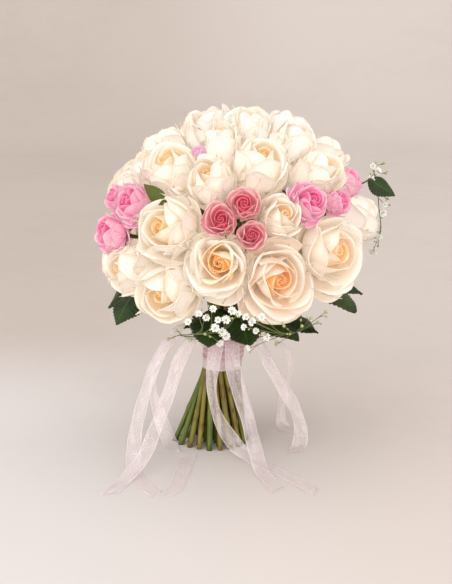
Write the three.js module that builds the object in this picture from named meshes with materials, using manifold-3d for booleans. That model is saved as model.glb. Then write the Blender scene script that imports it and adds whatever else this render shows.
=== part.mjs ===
// Bridal bouquet: cream roses and pink spray roses on spiralled cut stems, with leaves, baby's breath,
// a wound binding and sheer ribbon streamers. It stands on its splayed cut stems.
// Millimetres, +Z up, front towards -Y. The origin is the middle stem's cut end, on the surface.
import * as THREE from "three";
import { mergeVertices } from "three/addons/utils/BufferGeometryUtils.js";
import Module from "manifold-3d";

const wasm = await Module();
wasm.setup();

// Driving dimensions
const LEAN = 0.1; // sideways shift to the right for each millimetre of height
const HEAD_CENTRE = new THREE.Vector3(20, 0, 198);
const HEAD_RADIUS = 146; // to the crowns of the blooms
const FULLNESS = 1.14; // how much wider the blooms would open if their neighbours left them room
const STEM_ZONE = 78; // blooms stay further than this from the head's centre, stems turn inside it
const LOWEST_PETAL = -22; // degrees of elevation seen from the head's centre
const GAP = 0.3; // between touching pieces
const STEM_RADIUS = 2.4;
const UPPER_RADIUS = 2; // of a stem above the binding
const WAIST = { bottom: 80, top: 118, radius: 16 };
const BINDING = { bottom: 79, bandTop: 89, top: 118, inner: 19.2, outer: 20.8 };
const FOOT_RADIUS = 34;
const FOOT_TWIST = 40; // degrees that the spiral turns between the waist and the cut ends
const RIBBON = { width: 15, thickness: 0.7 };
const LEAF_THICKNESS = 0.9;

// The photograph's viewpoint: one column or row is one millimetre at the target
const VIEW = { rise: 15, distance: 1500, target: new THREE.Vector3(12, 0, 156), column: 226, row: 292 };
const HEART_RADIUS = 138; // dome on which the hearts of the blooms are seen

const COLOURS = {
  cream: new THREE.MeshStandardMaterial({ color: 0xf3e3cf, roughness: 0.75 }),
  pink: new THREE.MeshStandardMaterial({ color: 0xd77f97, roughness: 0.75 }),
  stem: new THREE.MeshStandardMaterial({ color: 0x6c7a35, roughness: 0.6 }),
  leaf: new THREE.MeshStandardMaterial({ color: 0x2c4420, roughness: 0.5 }),
  floret: new THREE.MeshStandardMaterial({ color: 0xf4f3ea, roughness: 0.8 }),
  satin: new THREE.MeshStandardMaterial({ color: 0xd9a9b3, roughness: 0.5 }),
  organza: new THREE.MeshStandardMaterial({ color: 0xf0dcdc, roughness: 0.6 }),
};

// How far each kind of bloom has opened. A lip is one layer of petal tips, as fractions of radius and depth.
const KINDS = {
  open: { depth: 48, segments: 20, lips: [[1, 0.62], [0.78, 0.82], [0.56, 0.94], [0.33, 1]] },
  half: { depth: 52, segments: 20, lips: [[1, 0.76], [0.76, 0.9], [0.53, 0.98], [0.3, 1]] },
  bud: { depth: 54, segments: 20, lips: [[1, 0.84], [0.75, 0.93], [0.5, 0.99], [0.27, 1]] },
  spray: { depth: 30, segments: 10, lips: [[1, 0.68], [0.7, 0.88], [0.4, 1]] },
};

// Blooms on the side that the photograph shows, by the column and row of each heart. Some sit lower than
// the others by the millimetres of their sink.
const SEEN = [
  { kind: "open", column: 219, row: 264, radius: 39 },
  { kind: "open", column: 281, row: 281, radius: 42 },
  { kind: "open", column: 340, row: 250, radius: 41 },
  { kind: "half", column: 159, row: 226, radius: 37 },
  { kind: "bud", column: 114, row: 270, radius: 28, sink: 5 },
  { kind: "bud", column: 157, row: 296, radius: 34 },
  { kind: "half", column: 166, row: 160, radius: 36 },
  { kind: "bud", column: 207, row: 172, radius: 26 },
  { kind: "bud", column: 221, row: 131, radius: 26 },
  { kind: "half", column: 249, row: 118, radius: 35 },
  { kind: "bud", column: 262, row: 153, radius: 30 },
  { kind: "bud", column: 296, row: 134, radius: 32, sink: -3 },
  { kind: "half", column: 326, row: 167, radius: 31, sink: -3 },
  { kind: "half", column: 286, row: 214, radius: 25 },
  { kind: "spray", column: 221, row: 219, radius: 23 },
  { kind: "spray", column: 244, row: 204, radius: 20, branchOf: "spray_rose_15" },
  { kind: "spray", column: 252, row: 235, radius: 20, branchOf: "spray_rose_15" },
  { kind: "spray", column: 314, row: 200, radius: 22 },
  { kind: "spray", column: 341, row: 200, radius: 14, branchOf: "spray_rose_18" },
  { kind: "spray", column: 127, row: 200, radius: 22 },
  { kind: "spray", column: 104, row: 232, radius: 22 },
  { kind: "spray", column: 114, row: 196, radius: 16, branchOf: "spray_rose_20" },
  { kind: "spray", column: 193, row: 137, radius: 13, sink: 7 },
];

// Blooms on the crown and the sides that only show in part, by azimuth from the front and elevation
const EDGE = [
  { kind: "half", azimuth: 86, elevation: 18, radius: 29 },
  { kind: "spray", azimuth: 91, elevation: 31, radius: 21 },
  { kind: "half", azimuth: -125, elevation: 76, radius: 39, sink: 3 },
  { kind: "half", azimuth: 105, elevation: 42, radius: 34, sink: -2 },
  { kind: "half", azimuth: 122, elevation: 61, radius: 37, sink: -2 },
  { kind: "half", azimuth: -80, elevation: 46, radius: 29, sink: 11 },
  { kind: "half", azimuth: -88, elevation: 32, radius: 27, sink: 10 },
  { kind: "half", azimuth: -91, elevation: -4, radius: 32, sink: 15 },
];

// Rows of blooms round the back, evenly spaced
const BACK_ROWS = [
  { elevation: -5, first: 119, step: 29, count: 5, radius: 42, sink: 7, kinds: ["open", "half"] },
  { elevation: 25, first: 128, step: 38, count: 4, radius: 44, sink: 0, kinds: ["half", "open"] },
  { elevation: 54, first: 160, step: 48, count: 3, radius: 38, sink: 6, kinds: ["half", "half"] },
];

// Stalks that come up between the blooms, which keep clear of them
const PASSAGES = {
  sprayFront: { azimuth: -6, elevation: -18, halfAngle: 5 },
  leafRight: { azimuth: 97, elevation: 22, halfAngle: 2.5 },
  sprayRight: { azimuth: 99, elevation: 4, halfAngle: 3 },
};

const degrees = THREE.MathUtils.degToRad;
const along = (from, direction, distance) => from.clone().addScaledVector(direction, distance);
const point = (x, y, z) => new THREE.Vector3(x, y, z);

// Unit direction from the head's centre
function direction(azimuth, elevation) {
  const a = degrees(azimuth);
  const e = degrees(elevation);
  return point(Math.sin(a) * Math.cos(e), -Math.cos(a) * Math.cos(e), Math.sin(e));
}

// Place where the line of sight through a column and row of the photograph meets a ball round the head
function seenPlace(column, row, reach) {
  const rise = degrees(VIEW.rise);
  const forward = point(0, Math.cos(rise), -Math.sin(rise));
  const upward = point(0, Math.sin(rise), Math.cos(rise));
  const eye = along(VIEW.target, forward, -VIEW.distance);
  const ray = forward.clone();
  ray.x += (column - VIEW.column) / VIEW.distance;
  ray.addScaledVector(upward, (VIEW.row - row) / VIEW.distance).normalize();
  const toEye = eye.clone().sub(HEAD_CENTRE);
  const half = ray.dot(toEye);
  const depth = Math.sqrt(half * half - toEye.lengthSq() + reach ** 2);
  return along(eye, ray, -half - depth);
}

const seenDirection = (column, row) => seenPlace(column, row, HEART_RADIUS).sub(HEAD_CENTRE).normalize();

// Manifold solid of a closed three.js geometry
function solid(geometry) {
  const bare = new THREE.BufferGeometry();
  bare.setAttribute("position", geometry.getAttribute("position"));
  if (geometry.index) bare.setIndex(geometry.index);
  const merged = mergeVertices(bare, 1e-3);
  return new wasm.Manifold(new wasm.Mesh({
    numProp: 3,
    vertProperties: merged.attributes.position.array,
    triVerts: new Uint32Array(merged.index.array),
  }));
}

// Three.js geometry of a manifold solid
function geometryOf(manifold) {
  const mesh = manifold.getMesh();
  const geometry = new THREE.BufferGeometry();
  geometry.setAttribute("position", new THREE.BufferAttribute(mesh.vertProperties, mesh.numProp));
  geometry.setIndex(new THREE.BufferAttribute(mesh.triVerts, 1));
  geometry.computeVertexNormals();
  return geometry;
}

const joined = (geometries) => geometryOf(wasm.Manifold.union(geometries.map(solid)));

function geometryFrom(points, triangles) {
  const geometry = new THREE.BufferGeometry().setFromPoints(points);
  geometry.setIndex(triangles.flat());
  geometry.computeVertexNormals();
  return geometry;
}

const bouquet = new THREE.Group();

function add(name, geometry, material) {
  const mesh = new THREE.Mesh(geometry, material);
  mesh.name = name;
  bouquet.add(mesh);
}

// Round rod along a curve, with few sides
function rod(curve, radius, sides, steps) {
  const corners = Array.from({ length: sides }, (_, i) => {
    const turn = (2 * Math.PI * i) / sides;
    return new THREE.Vector2(radius * Math.cos(turn), radius * Math.sin(turn));
  });
  return new THREE.ExtrudeGeometry(new THREE.Shape(corners), { extrudePath: curve, steps });
}

// Rod through a few points with its own radius at each
function taperedRod(places, radii, sides) {
  const points = [places[0]];
  let side = point(0.3, 0.2, 0);
  places.forEach((place, k) => {
    const run = places[Math.min(k + 1, places.length - 1)].clone().sub(places[Math.max(k - 1, 0)]).normalize();
    side = along(side, run, -side.dot(run)).normalize();
    const other = run.clone().cross(side);
    for (let i = 0; i < sides; i++) {
      const turn = (2 * Math.PI * i) / sides;
      const corner = along(place, side, radii[k] * Math.cos(turn));
      points.push(corner.addScaledVector(other, radii[k] * Math.sin(turn)));
    }
  });
  const end = points.push(places.at(-1)) - 1;
  const triangles = [];
  for (let i = 0; i < sides; i++) {
    const next = (i + 1) % sides;
    triangles.push([0, 1 + next, 1 + i], [end, end - sides + i, end - sides + next]);
    for (let a = 1; a + sides < end; a += sides) {
      triangles.push([a + i, a + next, a + sides + next], [a + i, a + sides + next, a + sides + i]);
    }
  }
  return geometryFrom(points, triangles);
}

// The list of blooms, each with its direction, the half angle that it takes and its depth
function bloomList() {
  const seen = SEEN.map((b) => ({ ...b, axis: seenDirection(b.column, b.row) }));
  const edge = EDGE.map((b) => ({ ...b, axis: direction(b.azimuth, b.elevation) }));
  const back = BACK_ROWS.flatMap((row) => Array.from({ length: row.count }, (_, i) => ({
    kind: row.kinds[i % row.kinds.length],
    radius: row.radius,
    sink: row.sink,
    axis: direction(row.first + row.step * i, row.elevation),
  })));
  return [...seen, ...edge, ...back].map((bloom, i) => {
    const kind = KINDS[bloom.kind];
    const small = bloom.kind === "spray";
    const whole = small ? kind.depth * (0.4 + bloom.radius / 36) : kind.depth;
    const baseReach = HEAD_RADIUS - whole;
    return {
      ...bloom,
      radius: FULLNESS * bloom.radius,
      depth: whole - (bloom.sink ?? 0),
      baseReach,
      number: i + 1,
      name: `${small ? "spray_rose" : `rose_${bloom.kind}`}_${String(i + 1).padStart(2, "0")}`,
      halfAngle: (0.9 * bloom.radius) / HEART_RADIUS,
      base: along(HEAD_CENTRE, bloom.axis, baseReach),
    };
  });
}

// Planes through the head's centre that part a bloom from its neighbours and from the leaves below
function wallsOf(bloom, sites) {
  const walls = [];
  for (const other of sites) {
    const angle = bloom.axis.angleTo(other.axis);
    if (other === bloom || angle > bloom.halfAngle + other.halfAngle + degrees(14)) continue;
    const across = along(other.axis, bloom.axis, -bloom.axis.dot(other.axis)).normalize();
    const share = (angle * bloom.halfAngle) / (bloom.halfAngle + other.halfAngle);
    walls.push(across.multiplyScalar(Math.cos(share)).addScaledVector(bloom.axis, -Math.sin(share)));
  }
  const azimuth = THREE.MathUtils.radToDeg(Math.atan2(bloom.axis.x, -bloom.axis.y));
  walls.push(direction(azimuth, LOWEST_PETAL - 90));
  return walls;
}

// Radius eased so that a bloom stays inside its walls while its layers keep their order
function easedRadius(radius, side, reach, axis, walls) {
  let room = Infinity;
  for (const wall of walls) {
    const lean = wall.dot(side);
    if (lean > 1e-6) room = Math.min(room, (-wall.dot(axis) * reach - GAP / 2) / lean);
  }
  return radius / (1 + (radius / room) ** 6) ** (1 / 6);
}

// Bloom with its layers of petals in relief. Each lip has five overlapping petals, half a petal
// round from the layer outside it, and a groove inside it.
function bloomGeometry(bloom, sites) {
  const { depth, radius, axis } = bloom;
  const { lips, segments } = KINDS[bloom.kind];
  const walls = wallsOf(bloom, sites);
  const right = point(0, 0, 1).cross(axis).normalize();
  const upward = axis.clone().cross(right);
  const start = bloom.number * 2.4; // each bloom is turned its own way
  const rings = [];
  const grooveDepth = 0.11 * depth;

  // Where a petal overlaps the next one it stands out, and its pointed middle stands up
  const petal = (layer, turn) => {
    const part = ((turn * 5) / (2 * Math.PI) + layer * 0.5) % 1;
    return { out: 0.055 - 0.11 * part, up: 0.035 * Math.sin(Math.PI * part) - 0.012 };
  };
  const ring = (count, shape) => rings.push(Array.from({ length: count }, (_, i) => {
    const turn = (2 * Math.PI * i) / count;
    const { r, z } = shape(turn);
    const side = right.clone().multiplyScalar(Math.cos(turn + start));
    side.addScaledVector(upward, Math.sin(turn + start));
    const reach = bloom.baseReach + z;
    return along(along(HEAD_CENTRE, axis, reach), side, easedRadius(r, side, reach, axis, walls));
  }));

  const few = segments / 2;
  ring(few, () => ({ r: 0.3 * radius, z: 0.06 * depth }));
  ring(few, () => ({ r: 0.8 * radius, z: (0.36 * lips[0][1] + 0.1) * depth }));
  lips.forEach(([reach, height], layer) => {
    const count = layer < 2 || segments === few ? segments : few;
    const next = lips[layer + 1];
    ring(count, (turn) => {
      const { out, up } = petal(layer, turn);
      return { r: radius * (reach + out), z: depth * (height + up) };
    });
    if (!next) return;
    ring(count, (turn) => {
      const { out } = petal(layer, turn);
      const inner = petal(layer + 1, turn);
      const r = radius * (0.3 * (reach + out) + 0.7 * (next[0] + inner.out) + 0.02);
      return { r, z: depth * height - grooveDepth };
    });
  });

  const points = [bloom.base, ...rings.flat()];
  const heart = points.push(along(bloom.base, axis, depth * 0.88)) - 1;
  const starts = [];
  rings.reduce((first, r) => starts.push(first) && first + r.length, 1);
  const triangles = rings[0].map((_, i) => [0, 1 + ((i + 1) % rings[0].length), 1 + i]);
  rings.slice(1).forEach((upper, k) => {
    const lower = rings[k];
    const a = starts[k];
    const b = starts[k + 1];
    const steps = Math.max(lower.length, upper.length);
    for (let i = 0; i < steps; i++) {
      const low = (n) => a + (Math.floor((n * lower.length) / steps) % lower.length);
      const high = (n) => b + (Math.floor((n * upper.length) / steps) % upper.length);
      if (low(i) !== low(i + 1)) triangles.push([low(i), low(i + 1), high(i)]);
      if (high(i) !== high(i + 1)) triangles.push([low(i + 1), high(i + 1), high(i)]);
    }
  });
  const last = rings.at(-1);
  const b = starts.at(-1);
  last.forEach((_, i) => triangles.push([b + i, b + ((i + 1) % last.length), heart]));
  return geometryFrom(points, triangles);
}

// Slots of the stems at the waist, ring by ring from the middle
const RINGS = [1, 6, 13, 19];
const SLOTS = RINGS.flatMap((count, ring) => Array.from({ length: count }, (_, i) => ({
  ring,
  turn: (2 * Math.PI * (i + ring / 2)) / count,
  share: ring / (RINGS.length - 1),
})));

function atSlot({ turn, share }, height, radius = WAIST.radius) {
  const r = radius * share;
  return point(LEAN * height + r * Math.sin(turn), -r * Math.cos(turn), height);
}

// Blooms shared out to the slots: the highest go in the middle, the rest in order round each ring
function stemPlan(blooms) {
  const inOrder = blooms.filter((b) => !b.branchOf).sort((a, b) => b.axis.z - a.axis.z);
  const around = (b) => (Math.atan2(b.axis.x, -b.axis.y) + 2 * Math.PI) % (2 * Math.PI);
  return RINGS.flatMap((count, ring) => {
    const group = inOrder.splice(0, count).sort((a, b) => around(a) - around(b));
    const places = SLOTS.filter((s) => s.ring === ring);
    return group.map((bloom, i) => ({ bloom, slot: places[i] }));
  });
}

// A stem's way from the waist to the neck of its bloom
function upperPath({ bloom, slot }) {
  const from = atSlot(slot, WAIST.top);
  const turning = along(HEAD_CENTRE, bloom.axis, 0.5 * STEM_ZONE);
  const into = along(HEAD_CENTRE, bloom.axis, STEM_ZONE);
  return new THREE.CubicBezierCurve3(from, along(from, point(LEAN, 0, 1), 36), turning, into);
}

// The neck below a bloom, with the green cup that holds it
function neckOf(bloom) {
  const cup = bloom.kind === "spray" ? { radius: 3.6, height: 6 } : { radius: 6, height: 9 };
  const top = bloom.baseReach - GAP;
  const places = [top - cup.height, top].map((reach) => along(HEAD_CENTRE, bloom.axis, reach));
  return { places, radii: [UPPER_RADIUS, cup.radius] };
}

function stemsGeometry(blooms) {
  const plan = stemPlan(blooms);
  const pieces = [];
  for (const item of plan) {
    const { bloom, slot } = item;
    const leftmost = Math.max(0, -Math.sin(slot.turn + degrees(FOOT_TWIST))) ** 6;
    const foot = atSlot({ ...slot, turn: slot.turn + degrees(FOOT_TWIST) }, -4, FOOT_RADIUS + 8 * leftmost);
    const waist = atSlot(slot, WAIST.bottom + 2);
    pieces.push(rod(new THREE.LineCurve3(foot, waist), STEM_RADIUS, 5, 1));
    const path = upperPath(item).getPoints(2);
    const neck = neckOf(bloom);
    const radii = [...path.map(() => UPPER_RADIUS), ...neck.radii];
    pieces.push(taperedRod([...path, ...neck.places], radii, 3));
  }

  // Side stems of the spray roses
  for (const bloom of blooms.filter((b) => b.branchOf)) {
    const main = plan.find((item) => item.bloom.name === bloom.branchOf);
    const fork = upperPath(main).getPoints(2)[1];
    const neck = neckOf(bloom);
    const places = [fork, along(HEAD_CENTRE, bloom.axis, STEM_ZONE), ...neck.places];
    pieces.push(taperedRod(places, [1.5, 1.5, ...neck.radii], 3));
  }

  // The bundle that the binding presses together
  const length = WAIST.top - WAIST.bottom + 1;
  const bundle = new THREE.CylinderGeometry(WAIST.radius + 1.2, WAIST.radius + 1.2, length, 16);
  bundle.rotateX(Math.PI / 2).translate(0, 0, WAIST.bottom + 1 + length / 2);
  bundle.applyMatrix4(new THREE.Matrix4().makeShear(0, 0, 0, 0, LEAN, 0));
  pieces.push(bundle);
  const whole = wasm.Manifold.union(pieces.map(solid));
  return geometryOf(whole.trimByPlane([0, 0, 1], 0));
}

// Ring round the leaning bundle, from a profile of radius and height
function bindingRing(outerPoints, bottom, top) {
  const profile = [[BINDING.inner, bottom], ...outerPoints, [BINDING.inner, top], [BINDING.inner, bottom]];
  const ring = new THREE.LatheGeometry(profile.map(([r, z]) => new THREE.Vector2(r, z)), 16);
  return ring.rotateX(Math.PI / 2).rotateY(Math.atan(LEAN));
}

function addBinding() {
  const { bottom, bandTop, top, outer } = BINDING;
  const wrapBottom = bandTop + GAP;
  const turns = 3;
  const pitch = (top - wrapBottom) / turns;
  const wound = Array.from({ length: turns }, (_, i) => [
    [outer - 0.8, wrapBottom + pitch * i],
    [outer, wrapBottom + pitch * (i + 0.5)],
  ]).flat();
  add("binding_wrap", bindingRing([...wound, [outer - 0.8, top]], wrapBottom, top), COLOURS.satin);
  const band = [[outer - 0.4, bottom], [outer - 0.2, bandTop]];
  add("binding_sheer_band", bindingRing(band, bottom, bandTop), COLOURS.organza);
}

// Ribbon strip along hand-placed points. Each point gives the place of its middle line and the way
// that its face looks. Both faces are split into triangles alike.
function ribbonGeometry(places, steps) {
  const middle = new THREE.CatmullRomCurve3(places.map(([x, y, z]) => point(x, y, z)));
  const facing = new THREE.CatmullRomCurve3(places.map(([, , , x, y, z]) => point(x, y, z)));
  const points = [];
  for (let i = 0; i <= steps; i++) {
    const t = i / steps;
    const run = middle.getTangent(t);
    const across = run.clone().cross(facing.getPoint(t)).normalize();
    const normal = across.clone().cross(run).normalize();
    for (const [side, face] of [[-1, -1], [1, -1], [1, 1], [-1, 1]]) {
      const edge = along(middle.getPoint(t), across, (side * RIBBON.width) / 2);
      const corner = along(edge, normal, (face * RIBBON.thickness) / 2);
      points.push(corner.setZ(Math.max(corner.z, face > 0 ? RIBBON.thickness : 0)));
    }
  }
  const triangles = [[0, 1, 2], [0, 2, 3]];
  for (let i = 0; i < steps; i++) {
    const a = 4 * i;
    const b = a + 4;
    triangles.push([a, b, b + 1], [a, b + 1, a + 1], [a + 3, b + 2, b + 3], [a + 3, a + 2, b + 2]);
    triangles.push([a + 1, b + 1, b + 2], [a + 1, b + 2, a + 2], [a, a + 3, b + 3], [a, b + 3, b]);
  }
  const e = 4 * steps;
  triangles.push([e, e + 2, e + 1], [e, e + 3, e + 2]);
  return geometryFrom(points, triangles);
}

// Place on the binding that a ribbon lies against, and the way that its face looks there
function onBinding(azimuth, height) {
  const outwards = direction(azimuth, 0);
  const reach = BINDING.outer + RIBBON.thickness / 2 + GAP / 2;
  const place = outwards.clone().multiplyScalar(reach).add(point(LEAN * height, 0, height));
  return [...place.toArray(), ...outwards.toArray()];
}

// Each ribbon from the binding to its tail: place, then the way its face looks
const RIBBONS = {
  ribbon_left_outer: [
    onBinding(-107, 112),
    [-27, 0, 121, -0.5, -0.2, 0.9], [-44, -2, 108, -0.8, -0.6, 0.3],
    [-58, -8, 85, -0.7, -0.8, 0.3], [-68, -22, 60, -0.6, -0.8, 0.3], [-76, -42, 34, -0.5, -0.8, 0.4],
    [-79, -64, 12, -0.3, -0.6, 0.8], [-77, -90, 1, 0, 0, 1], [-66, -124, 1, 0, 0, 1],
    [-50, -148, 1, 0, 0, 1], [-38, -138, 1, 0, 0, 1], [-31, -96, 1, 0, 0, 1], [-26, -52, 1, 0, 0, 1],
  ],
  ribbon_left_inner: [
    onBinding(-150, 112),
    [-20, 26, 120, -0.4, 0.3, 0.9], [-42, 24, 102, -0.9, 0, 0.3],
    [-58, 18, 76, -0.9, -0.5, 0.2], [-63, 12, 54, -0.9, -0.5, 0.1], [-58, 4, 30, -0.5, -0.8, 0.2],
    [-50, -4, 10, -0.2, -0.6, 0.8], [-44, -18, 1, 0, 0, 1], [-42, -34, 1, 0, 0, 1],
  ],
  ribbon_left_tail: [
    onBinding(-65, 109),
    [-21, -25, 114, -0.5, -0.6, 0.7], [-34, -32, 94, -0.5, -0.8, 0.3],
    [-44, -44, 66, -0.5, -0.8, 0.3], [-56, -64, 38, -0.5, -0.8, 0.4], [-68, -88, 14, -0.3, -0.7, 0.7],
    [-85, -116, 1.6, 0, 0, 1], [-96, -148, 1, 0, 0, 1],
  ],
  ribbon_front_left: [
    onBinding(-22, 110), [-1, -24, 86, -0.4, -0.8, 0],
    [-2, -34, 60, -0.8, -0.6, 0], [5, -46, 38, -0.8, -0.6, 0.4], [20, -55, 16, -0.4, -0.4, 0.8],
    [38, -64, 1.4, 0, 0, 1], [62, -90, 1, 0, 0, 1], [96, -142, 1, 0, 0, 1],
  ],
  ribbon_front_right: [
    onBinding(20, 108), [19, -26, 86, 0.1, -0.9, 0.3],
    [25, -39, 64, 0.3, -0.8, 0.3], [33, -54, 42, 0.4, -0.8, 0.3], [40, -72, 18, 0.3, -0.7, 0.6],
    [46, -92, 3, 0.1, -0.2, 0.9], [54, -116, 1, 0, 0, 1], [60, -138, 1, 0, 0, 1],
  ],
  ribbon_right_front: [
    onBinding(92, 106), [40, 2, 111, 0.5, -0.1, 0.8],
    [56, -1, 80, 0.5, -0.6, 0.4], [70, -4, 56, 0.5, -0.7, 0.4], [82, -8, 36, 0.6, -0.7, 0.2],
    [88, -14, 16, 0.4, -0.6, 0.6], [86, -24, 2, 0.1, -0.2, 0.9], [80, -42, 1, 0, 0, 1],
  ],
  ribbon_right_back: [
    onBinding(138, 112), [38, 30, 118, 0.5, 0.4, 0.8],
    [58, 34, 100, 0.7, 0.3, 0.6], [76, 37, 82, 0.8, -0.3, 0.5], [79, 40, 60, 0.9, -0.4, 0.1],
    [73, 44, 34, 0.8, -0.6, 0.1], [70, 44, 12, 0.7, -0.5, 0.4], [72, 34, 1.4, 0.1, 0, 1],
    [76, 18, 1, 0, 0, 1],
  ],
};

// Serrated leaf blade, folded along its rib and arched. Both faces are split into triangles alike.
// The face is the way that its upper side looks.
function leafBlade(root, run, face, length, width) {
  const teeth = 4;
  const across = run.clone().cross(face).normalize();
  const normal = across.clone().cross(run).normalize();
  const halfWidth = (t) => (width / 2) * Math.sin(Math.PI * t ** 0.75) ** 0.85;
  const rim = [];
  for (let i = 0; i < teeth; i++) {
    const notch = 0.06 + (0.88 * i) / teeth;
    const tip = 0.06 + (0.88 * (i + 0.85)) / teeth;
    rim.push([notch, 0.84 * halfWidth(notch)], [tip, 1.1 * halfWidth(tip)]);
  }

  // Flat outline: the rib's three points, then each half's teeth
  const flat = [[0, 0], [0.5, 0], [1, 0]];
  const faces = [];
  const walls = [];
  for (const side of [1, -1]) {
    const ids = [0, ...rim.map(([t, half]) => flat.push([t, (side * half) / length]) - 1), 2, 1];
    const contour = ids.map((id) => new THREE.Vector2(...flat[id]));
    for (const [a, b, c] of THREE.ShapeUtils.triangulateShape(contour, [])) {
      const turn = contour[b].clone().sub(contour[a]).cross(contour[c].clone().sub(contour[a]));
      faces.push(turn > 0 ? [ids[a], ids[c], ids[b]] : [ids[a], ids[b], ids[c]]);
    }
    ids.slice(1, -1).forEach((b, k) => walls.push(side > 0 ? [ids[k], b] : [b, ids[k]]));
  }
  const place = ([t, v], up) => {
    const sag = -0.14 * length * t * t - 0.35 * Math.abs(v) * length;
    const spot = along(along(root, run, t * length), across, v * length);
    return along(spot, normal, sag + up * LEAF_THICKNESS);
  };
  const n = flat.length;
  const points = [0.5, -0.5].flatMap((up) => flat.map((spot) => place(spot, up)));
  const triangles = [
    ...faces.flatMap(([a, b, c]) => [[a, b, c], [a + n, c + n, b + n]]),
    ...walls.flatMap(([a, b]) => [[a, a + n, b + n], [a, b + n, b]]),
  ];
  return geometryFrom(points, triangles);
}

// A place by azimuth round the binding's axis, distance from it and height
function around(azimuth, reach, height) {
  return direction(azimuth, 0).multiplyScalar(reach).add(point(LEAN * WAIST.top, 0, height));
}

// Place part of the way along a run of straight lengths
function alongRun(places, part) {
  const k = Math.min(Math.floor(part * (places.length - 1)), places.length - 2);
  return places[k].clone().lerp(places[k + 1], part * (places.length - 1) - k);
}

// Leafy stalk: twigs through hand-placed points, each with leaflets that grow from places along it
function leafyStalk(twigs) {
  const pieces = [];
  for (const { route, leaflets } of twigs) {
    const places = new THREE.CatmullRomCurve3(route).getPoints(3);
    pieces.push(taperedRod(places, [1.2, 1.1, 1, 0.9], 4));
    for (const { at, azimuth, elevation, length, width, face = point(0, 0, 1) } of leaflets) {
      const run = direction(azimuth, elevation);
      const root = alongRun(places, at);
      pieces.push(leafBlade(along(root, run, -1.5), run, face, length, width));
    }
  }
  return joined(pieces);
}

// Each leafy stalk leaves the bundle just above the binding, or runs up beside a rose's stem
const COLLAR = { reach: 19.4, height: 121.5 };

// Twigs that fork from the first one close to the bundle and spread under the blooms. Each one's end
// leaf turns by the degrees of inward.
function fan(azimuths, { reach, height, elevation, length, width, inward = 0, second = false }) {
  const start = around(azimuths[0], COLLAR.reach, COLLAR.height);
  const hub = around(azimuths[0], 32, 131);
  const fork = along(hub, hub.clone().sub(start).normalize(), -2);
  return azimuths.map((azimuth, i) => {
    const tip = [around(azimuth, 0.7 * reach, height - 4), around(azimuth, reach, height)];
    const turned = azimuth + (i % 2 ? 56 : -56);
    const leaflets = [{ at: 1, azimuth: azimuth + inward, elevation, length, width }];
    if (second) {
      const small = { length: 0.8 * length, width: 0.8 * width };
      leaflets.push({ at: 0.72, azimuth: turned, elevation: elevation + 6, ...small });
    }
    return { route: i ? [fork, ...tip] : [start, hub, ...tip], leaflets };
  });
}

// Place beside the neck of a bloom's stem, so that a stalk there lies against it
function besideStem(bloom, towards, stalkRadius) {
  const spot = along(HEAD_CENTRE, bloom.axis, STEM_ZONE + 2);
  const across = along(towards, bloom.axis, -bloom.axis.dot(towards)).normalize();
  return along(spot, across, 0.8 * UPPER_RADIUS + 0.7 * stalkRadius + GAP);
}

// A leaf on a long stalk that comes up between two blooms at the right
function leafRight(blooms) {
  const { azimuth, elevation } = PASSAGES.leafRight;
  const way = direction(azimuth, elevation);
  const neighbour = blooms.find((b) => b.name === "rose_half_24");
  const route = [
    besideStem(neighbour, way, 1.2),
    along(HEAD_CENTRE, way, 96),
    along(HEAD_CENTRE, way, 122),
    along(HEAD_CENTRE, way, 148),
  ];
  const blade = { at: 1, azimuth: 72, elevation: -8, length: 33, width: 21, face: point(0, -0.7, 0.7) };
  return [{ route, leaflets: [blade] }];
}

const LEAFY = {
  leaf_spray_front: fan([9.5, -16, 40], {
    reach: 60, height: 152, elevation: -22, length: 46, width: 35, second: true,
  }),
  leaf_spray_left: fan([-68, -98], {
    reach: 98, height: 164, elevation: -50, length: 38, width: 32, inward: 24,
  }),
  leaf_spray_back: fan([180, 138, 218], { reach: 64, height: 148, elevation: -20, length: 48, width: 36 }),
  leaf_spray_right: fan([74, 100], {
    reach: 104, height: 172, elevation: -34, length: 42, width: 34, inward: -14,
  }),
};

// Double floret of baby's breath: a ruffled star on a short cup
function floret(centre, axis, radius) {
  const side = axis.clone().cross(point(0.2, 0.3, 1)).normalize();
  const other = axis.clone().cross(side);
  const points = [along(centre, axis, -0.8 * radius), along(centre, axis, 0.35 * radius)];
  const rim = 8;
  for (let i = 0; i < rim; i++) {
    const turn = (2 * Math.PI * i) / rim;
    const out = radius * (i % 2 ? 0.62 : 1);
    const corner = along(centre, axis, radius * (i % 2 ? 0.3 : 0.05));
    corner.addScaledVector(side, out * Math.cos(turn)).addScaledVector(other, out * Math.sin(turn));
    points.push(corner);
  }
  const triangles = Array.from({ length: rim }, (_, i) => {
    const next = 2 + ((i + 1) % rim);
    return [[0, next, 2 + i], [1, 2 + i, next]];
  }).flat();
  return geometryFrom(points, triangles);
}

// Spray of baby's breath: stalks, and thin twigs from places along each, with a floret or a bud
function breathSpray(stalks) {
  const pieces = [];
  for (const { route, florets, buds } of stalks) {
    const places = new THREE.CatmullRomCurve3(route).getPoints(6);
    pieces.push(taperedRod(places, [1.1, 1.1, 1.1, 1.1, 1.1, 1, 1], 3));
    for (const [at, to] of [...florets, ...buds]) {
      pieces.push(rod(new THREE.LineCurve3(alongRun(places, 0.98 * at), to), 0.5, 3, 1));
    }
    for (const [at, to] of florets) {
      pieces.push(floret(to, to.clone().sub(alongRun(places, at)).normalize(), 3.4));
    }
    for (const [, to] of buds) {
      pieces.push(new THREE.OctahedronGeometry(1.6).translate(to.x, to.y, to.z));
    }
  }
  return joined(pieces);
}

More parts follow.
